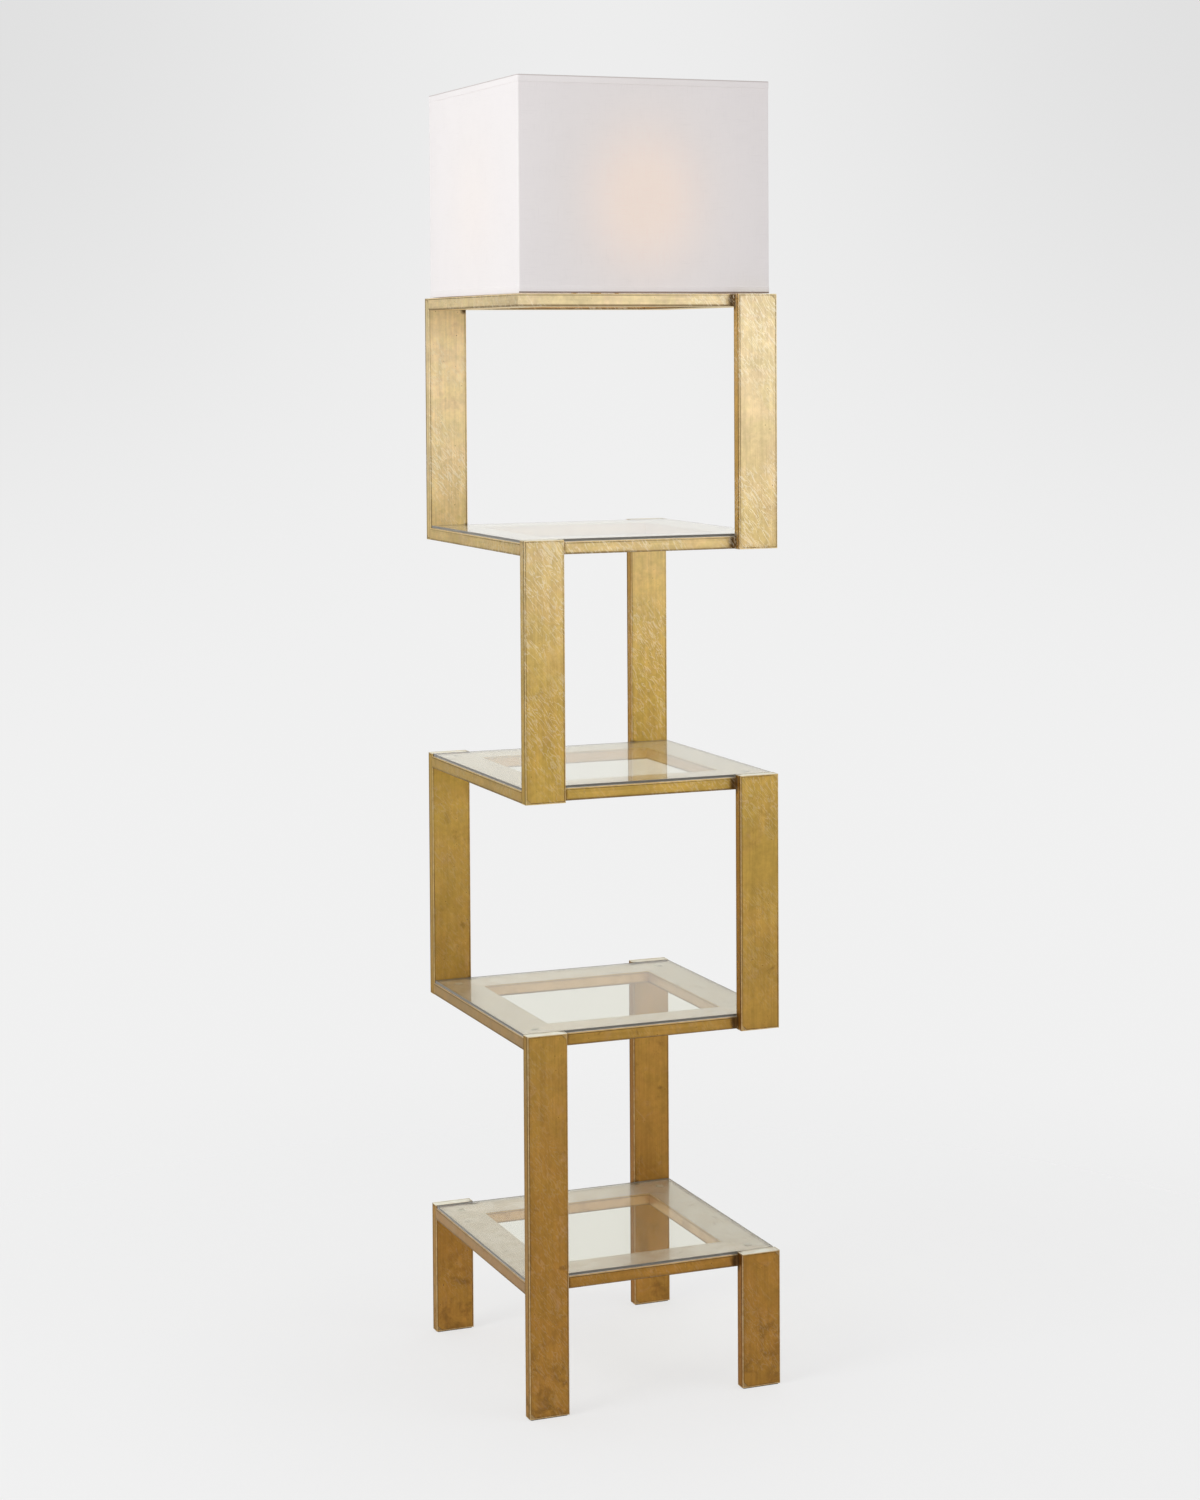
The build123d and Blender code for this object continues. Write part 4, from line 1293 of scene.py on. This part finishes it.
def gripRibs(bm, foot, top):
    half = Vector(turnKnob["ribHalf"])
    for side in (1, -1):
        for step in range(-turnKnob["ribs"], turnKnob["ribs"] + 1):
            middle = Vector((side * turnKnob["blade"], step * turnKnob["ribApart"], 0))
            rib = block(middle - half + up * foot, middle + half + up * top)
            roundOff(rib, edgesAlong(rib), turnKnob["ribEdge"], segments=1)
            join(bm, rib)


def knobPiece():  # turned along z, then laid along the switch's axis
    low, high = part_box("switch_knob")
    radius, stem, dome = (high.z - low.z) / 2, turnKnob["stem"], turnKnob["dome"]
    tail, foot, tip = -high.y, turnKnob["foot"], -low.y
    collarTop = foot + turnKnob["collar"]
    profile = [(0, tail)] + offFrom(stem, tail, turnKnob["stemTip"]) + [(stem, foot)]
    profile += offFrom(radius, foot, turnKnob["collarFoot"])
    profile += offFrom(radius, collarTop, turnKnob["collarTop"])
    profile += arc((radius - turnKnob["bladeIn"] - dome, tip - dome), dome, 0, 90, 4) + [(0, tip)]
    bm = bmesh.new()
    spun(bm, profile)
    bmesh.ops.recalc_face_normals(bm, faces=bm.faces)
    for vert in bm.verts:  # flats of the blade that the fingers turn
        if vert.co.z > collarTop - limits["onFace"] and abs(vert.co.x) > turnKnob["blade"]:
            vert.co.x = copysign(turnKnob["blade"], vert.co.x)
    gripRibs(bm, collarTop, tip - turnKnob["ribShort"])
    bmesh.ops.rotate(bm, cent=origin, matrix=Matrix.Rotation(pi / 2, 3, "X"), verts=bm.verts)
    bmesh.ops.translate(bm, vec=(0, 0, (low.z + high.z) / 2), verts=bm.verts)
    finishPiece(bm, "turn_knob", ["blackPlastic"], ["switch_knob"])


globe = {
    "ball": 0.030, "neck": 0.014, "neckTall": 0.006, "flank": 35,
    "flankSteps": 8, "ballSteps": 18, "steps": 56,
}


def flankPoints(side, normal, neckTop):  # arc that leaves the ball along its tangent and ends at the neck
    chord = neckTop - side
    heart = side + normal * chord.length_squared / (2 * chord.dot(normal))
    begin = side - heart
    turn = begin.angle_signed(neckTop - heart)
    count = globe["flankSteps"]
    spokes = [Matrix.Rotation(-turn * (1 - step / count), 2) @ begin for step in range(count + 1)]
    return [tuple(heart + spoke) for spoke in spokes]


def bulbGlobe():
    low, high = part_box("bulb_globe")
    ball, neck = globe["ball"], globe["neck"]
    centre = high.z - ball
    slope = radians(globe["flank"])
    normal = Vector((cos(slope), -sin(slope)))
    side = Vector((0, centre)) + normal * ball
    points = [(neck, low.z), (neck, low.z + globe["neckTall"] / 2)]
    points += flankPoints(side, normal, Vector((neck, low.z + globe["neckTall"])))
    points += arc((0, centre), ball, -globe["flank"], 90, globe["ballSteps"])[1:-1] + [(0, high.z)]
    bm = bmesh.new()
    spun(bm, points, globe["steps"])
    bmesh.ops.recalc_face_normals(bm, faces=bm.faces)
    heart = Vector((0, 0, centre))
    if sum(face.normal.dot(face.calc_center_median() - heart) for face in bm.faces) < 0:
        bmesh.ops.reverse_faces(bm, faces=bm.faces)
    finishPiece(bm, "frosted_globe", ["bulb"], ["bulb_globe"], turnOut=False)


base = {  # the lists are (outward, up) from the foot
    "threadFoot": 0.0062, "threadTop": 0.0035, "collar": 0.0008, "collarSize": 0.992, "mouthSize": 0.95,
    "lip": 0.0004, "lipSizes": (0.94, 0.93), "coneSteps": 40, "tipSteps": 32,
    "cone": [(0.0115, 0.0056), (0.0105, 0.0045), (0.0050, 0.0016), (0.0045, 0.0013)],
    "tip": [(0.0046, 0.0014), (0.0045, 0.0008), (0.0036, 0.0002), (0, 0)],
}


def bulbBase():
    low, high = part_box("bulb_base")
    threadFoot, threadTop = low.z + base["threadFoot"], high.z - base["threadTop"]
    bm = screwSkin(high.x, screw["baseDepth"], threadFoot, threadTop)
    collar, mouth = base["collarSize"], base["mouthSize"]
    edges = push(bm, rimEdges(bm, threadTop), up * base["collar"], (collar, collar, 1), origin)
    edges = push(bm, edges, up * (high.z - threadTop - base["collar"]))
    push(bm, edges, origin, (mouth, mouth, 1), origin)
    edges = rimEdges(bm, threadFoot)
    for lip in base["lipSizes"]:
        edges = push(bm, edges, -up * base["lip"], (lip, lip, 1), origin)
    for part, steps, material in (("cone", base["coneSteps"], 1), ("tip", base["tipSteps"], 0)):
        one = bmesh.new()
        spun(one, offFrom(0, low.z, base[part]), steps)
        for face in one.faces:
            face.material_index = material
        join(bm, one)
    finishPiece(bm, "bulb_screw_base", ["aluminium", "porcelain"], ["bulb_base"], sharp=50)


bush = {"bore": 0.0032, "seat": 0.00495, "floor": 0.0015, "edge": 0.0005, "round": 0.0012, "steps": 40}


def bushPiece():
    low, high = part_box("cord_bush")
    bore, edge, curve = bush["bore"], bush["edge"], bush["round"]
    floor = low.z + bush["floor"]
    profile = [(bore + edge, low.z)] + arc((high.x - curve, low.z + curve), curve, -90, 0, 4)
    profile += [(high.x, high.z), (bush["seat"], high.z), (bush["seat"], floor)]
    profile += [(bore, floor), (bore, low.z + edge)]
    bm = bmesh.new()
    spun(bm, profile, bush["steps"], closed=True)
    finishPiece(bm, "lead_in_bush", ["blackPlastic"], ["cord_bush"])


socketCap()
socketShell()
threadShell()
knobPiece()
bulbGlobe()
bulbBase()
bushPiece()
print("socket and bulb made")


# finial

turning = {
    "bore": 0.0032, "boreTall": 0.0135, "boreEdge": 0.0004, "flange": 0.0065, "flangeThick": 0.0025,
    "flangeRound": 0.0006, "flangeTop": [(0, -0.0005), (-0.0004, 0)], "neck": 0.0045, "ball": 0.0065,
    "cove": [(0.6, 0.18), (0.2, 0.55), (0, 1)], "beadUp": 0.0042, "beadHalf": 0.0012, "beadIn": 0.0002,
    "beadRound": 0.0011, "steps": 48,
}


def finialPiece():
    low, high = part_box("finial")
    bore, edge = turning["bore"], turning["boreEdge"]
    flange, neck, ball, curve = turning["flange"], turning["neck"], turning["ball"], turning["flangeRound"]
    flangeTop = low.z + turning["flangeThick"]
    cove = flange - neck
    bead, beadHalf = flangeTop + cove + turning["beadUp"], turning["beadHalf"]
    ballStart = degrees(asin(neck / ball))
    profile = [(bore, low.z + turning["boreTall"]), (bore, low.z + edge), (bore + edge, low.z)]
    profile += arc((flange - curve, low.z + curve), curve, -90, 0, 3)
    profile += offFrom(flange, flangeTop, turning["flangeTop"])
    hollow = [(outward * cove, above * cove) for outward, above in turning["cove"]]
    profile += offFrom(neck, flangeTop, hollow)
    profile += [(neck, bead - beadHalf)]
    profile += arc((neck - turning["beadIn"], bead), turning["beadRound"], -80, 80, 6)
    profile += [(neck, bead + beadHalf)]
    profile += arc((0, high.z - ball), ball, ballStart - 90, 90, 16)[:-1] + [(0, high.z)]
    bm = bmesh.new()
    spun(bm, profile, turning["steps"])
    bmesh.ops.holes_fill(bm, edges=[edge for edge in bm.edges if edge.is_boundary])  # the end of the bore
    finishPiece(bm, "turned_finial", ["agedGold"], ["finial"], sharp=40)


finialPiece()
print("finial made")


# pieces that keep their modelled shape

kept = {
    "holder_crossbar": "across", "nipple_locknut": "zinc", "threaded_nipple": "zinc",
    "socket_liner": "card", "socket_core": "blackPlastic", "centre_contact": "brass",
}
for node, material in kept.items():
    nodes[node].data.materials.clear()
    nodes[node].data.materials.append(finish[material])
print("kept pieces finished")


# studio

ground = {
    "radius": 6.0, "steps": 96, "seen": 0.90, "fade": (0.7, 1.7),
    "look": {"Base Color": (0.93, 0.935, 0.948, 1), "Roughness": 0.9, "Specular IOR Level": 0.1},
    "shadowHeart": (-0.18, -0.05, 0.0), "shadow": (0.15, 0.6, 0.70, 0.78),
}
sky = {
    "tone": (-0.35, 0.10, 0.875, 0.795), "overhead": (0.10, 0.34), "softbox": (-0.02, 0.06),
    "flag": (-0.60, 0.10, 0.68, 1.0), "backdrop": (-0.10, 0.12, 0.875, 0.848), "across": (0.928, -0.373, 0.0),
    "fall": (0.0, 0.22, 0.0, 0.10), "fallHeight": (-0.16, 0.12), "ambient": 0.60,
}
lamps = {  # place, target, size, power, colour
    "keyLamp": ((-3.4, -0.9, 2.6), (0, 0, 1.0), (1.6, 2.2), 56.0, (0.99, 1.0, 0.985)),
    "fillLamp": ((2.6, -2.4, 1.8), (0, 0, 0.9), (1.8, 1.8), 12.5, (1.0, 0.975, 0.97)),
}
view = {
    "sensor": 36.0, "lens": 88.596, "shift": -0.23333, "place": (-1.37707, -3.43600, 1.28),
    "yaw": 0.38228, "pitch": 0.0415, "roll": -0.00584,
}
white = (1, 1, 1, 1)


def seenRays(tree):  # rays from the camera, from gloss and through glass
    path = put(tree, "LightPath").outputs
    seen = plus(tree, path["Is Camera Ray"], path["Is Glossy Ray"], clamp=True)
    return plus(tree, seen, path["Is Transmission Ray"], clamp=True)


def floorMaterial():
    material, tree, shader, place = newMaterial("paleFloor", ground["look"])
    away = vectorMaths(tree, "LENGTH", place)["Value"]
    pale = put(tree, "Emission", {"Color": [ground["seen"]] * 3 + [1], "Strength": 1.0})
    apart = vectorMaths(tree, "DISTANCE", place, ground["shadowHeart"])["Value"]
    share = times(tree, seenRays(tree), rise(tree, apart, *ground["shadow"]))
    lit = put(tree, "MixShader", {0: share, 1: shader.outputs[0], 2: pale.outputs[0]})
    clear = put(tree, "BsdfTransparent")
    under = put(tree, "NewGeometry").outputs["Backfacing"]  # nothing hides the piece in views from below
    fade = most(tree, rise(tree, away, *ground["fade"]), under)
    mix = put(tree, "MixShader", {0: fade, 1: lit.outputs[0], 2: clear.outputs[0]})
    tree.links.new(mix.outputs[0], tree.nodes["Material Output"].inputs["Surface"])
    return material


def floorDisc():
    bm = bmesh.new()
    bmesh.ops.create_circle(bm, cap_ends=True, segments=ground["steps"], radius=ground["radius"])
    mesh = bpy.data.meshes.new("studioFloor")
    bm.to_mesh(mesh)
    bm.free()
    floor = bpy.data.objects.new("studioFloor", mesh)
    scene.collection.objects.link(floor)
    mesh.materials.append(floorMaterial())


def backdropTone(tree, way, height):  # what the camera sees behind the piece, darker to both sides
    aside = vectorMaths(tree, "DOT_PRODUCT", way, sky["across"])["Value"]
    aside = rise(tree, absolute(tree, aside), *sky["fall"])
    aside = times(tree, aside, rise(tree, height, *sky["fallHeight"]))
    return less(tree, rise(tree, height, *sky["backdrop"]), aside)


def paleWorld():
    world = bpy.data.worlds.new("paleStudio")
    scene.world = world
    world.use_nodes = True
    tree = world.node_tree
    tree.nodes.clear()
    out = put(tree, "OutputWorld")
    way = put(tree, "TexCoord").outputs["Generated"]
    split = put(tree, "SeparateXYZ", {0: way}).outputs
    across, height = split[0], split[2]
    mirrored = less(tree, 1.0, put(tree, "LightPath").outputs["Is Camera Ray"])
    room = grey(tree, rise(tree, height, *sky["tone"]))
    tone = blendColour(tree, mirrored, grey(tree, backdropTone(tree, way, height)), room)
    # white sheet over the set, seen in gloss
    softbox = times(tree, rise(tree, height, *sky["softbox"]), mirrored)
    overhead = most(tree, softbox, rise(tree, height, *sky["overhead"]))
    tone = blendColour(tree, times(tree, overhead, mirrored), tone, white)
    flag = rise(tree, across, *sky["flag"])  # dark sheet on the left, seen in gloss
    tone = tint(tree, tone, blendColour(tree, mirrored, white, grey(tree, flag)))
    seen = put(tree, "Background", {"Color": tone, "Strength": 1.0})
    light = put(tree, "Background", {"Color": white, "Strength": sky["ambient"]})
    mix = put(tree, "MixShader", {0: seenRays(tree), 1: light.outputs[0], 2: seen.outputs[0]})
    tree.links.new(mix.outputs[0], out.inputs["Surface"])


def softLamp(name, place, target, sides, power, colour):
    light = bpy.data.lights.new(name, "AREA")
    light.shape = "RECTANGLE"
    light.size, light.size_y = sides
    light.energy = power
    light.color = colour
    lamp = bpy.data.objects.new(name, light)
    scene.collection.objects.link(lamp)
    lamp.location = place
    lamp.rotation_euler = (Vector(target) - Vector(place)).to_track_quat("-Z", "Y").to_euler()
    lamp.visible_camera = False


def photoCamera():
    data = bpy.data.cameras.new("photoCamera")
    data.sensor_fit = "HORIZONTAL"
    data.sensor_width = view["sensor"]
    data.lens = view["lens"]
    data.shift_y = view["shift"]
    camera = bpy.data.objects.new("photoCamera", data)
    scene.collection.objects.link(camera)
    turn = Matrix.Rotation(-view["yaw"], 4, "Z") @ Matrix.Rotation(pi / 2 - view["pitch"], 4, "X")
    turn = turn @ Matrix.Rotation(view["roll"], 4, "Z")
    camera.matrix_world = Matrix.Translation(view["place"]) @ turn
    scene.camera = camera


floorDisc()
paleWorld()
for name, look in lamps.items():
    softLamp(name, *look)
photoCamera()
scene.view_settings.view_transform = "Standard"
print("studio set")
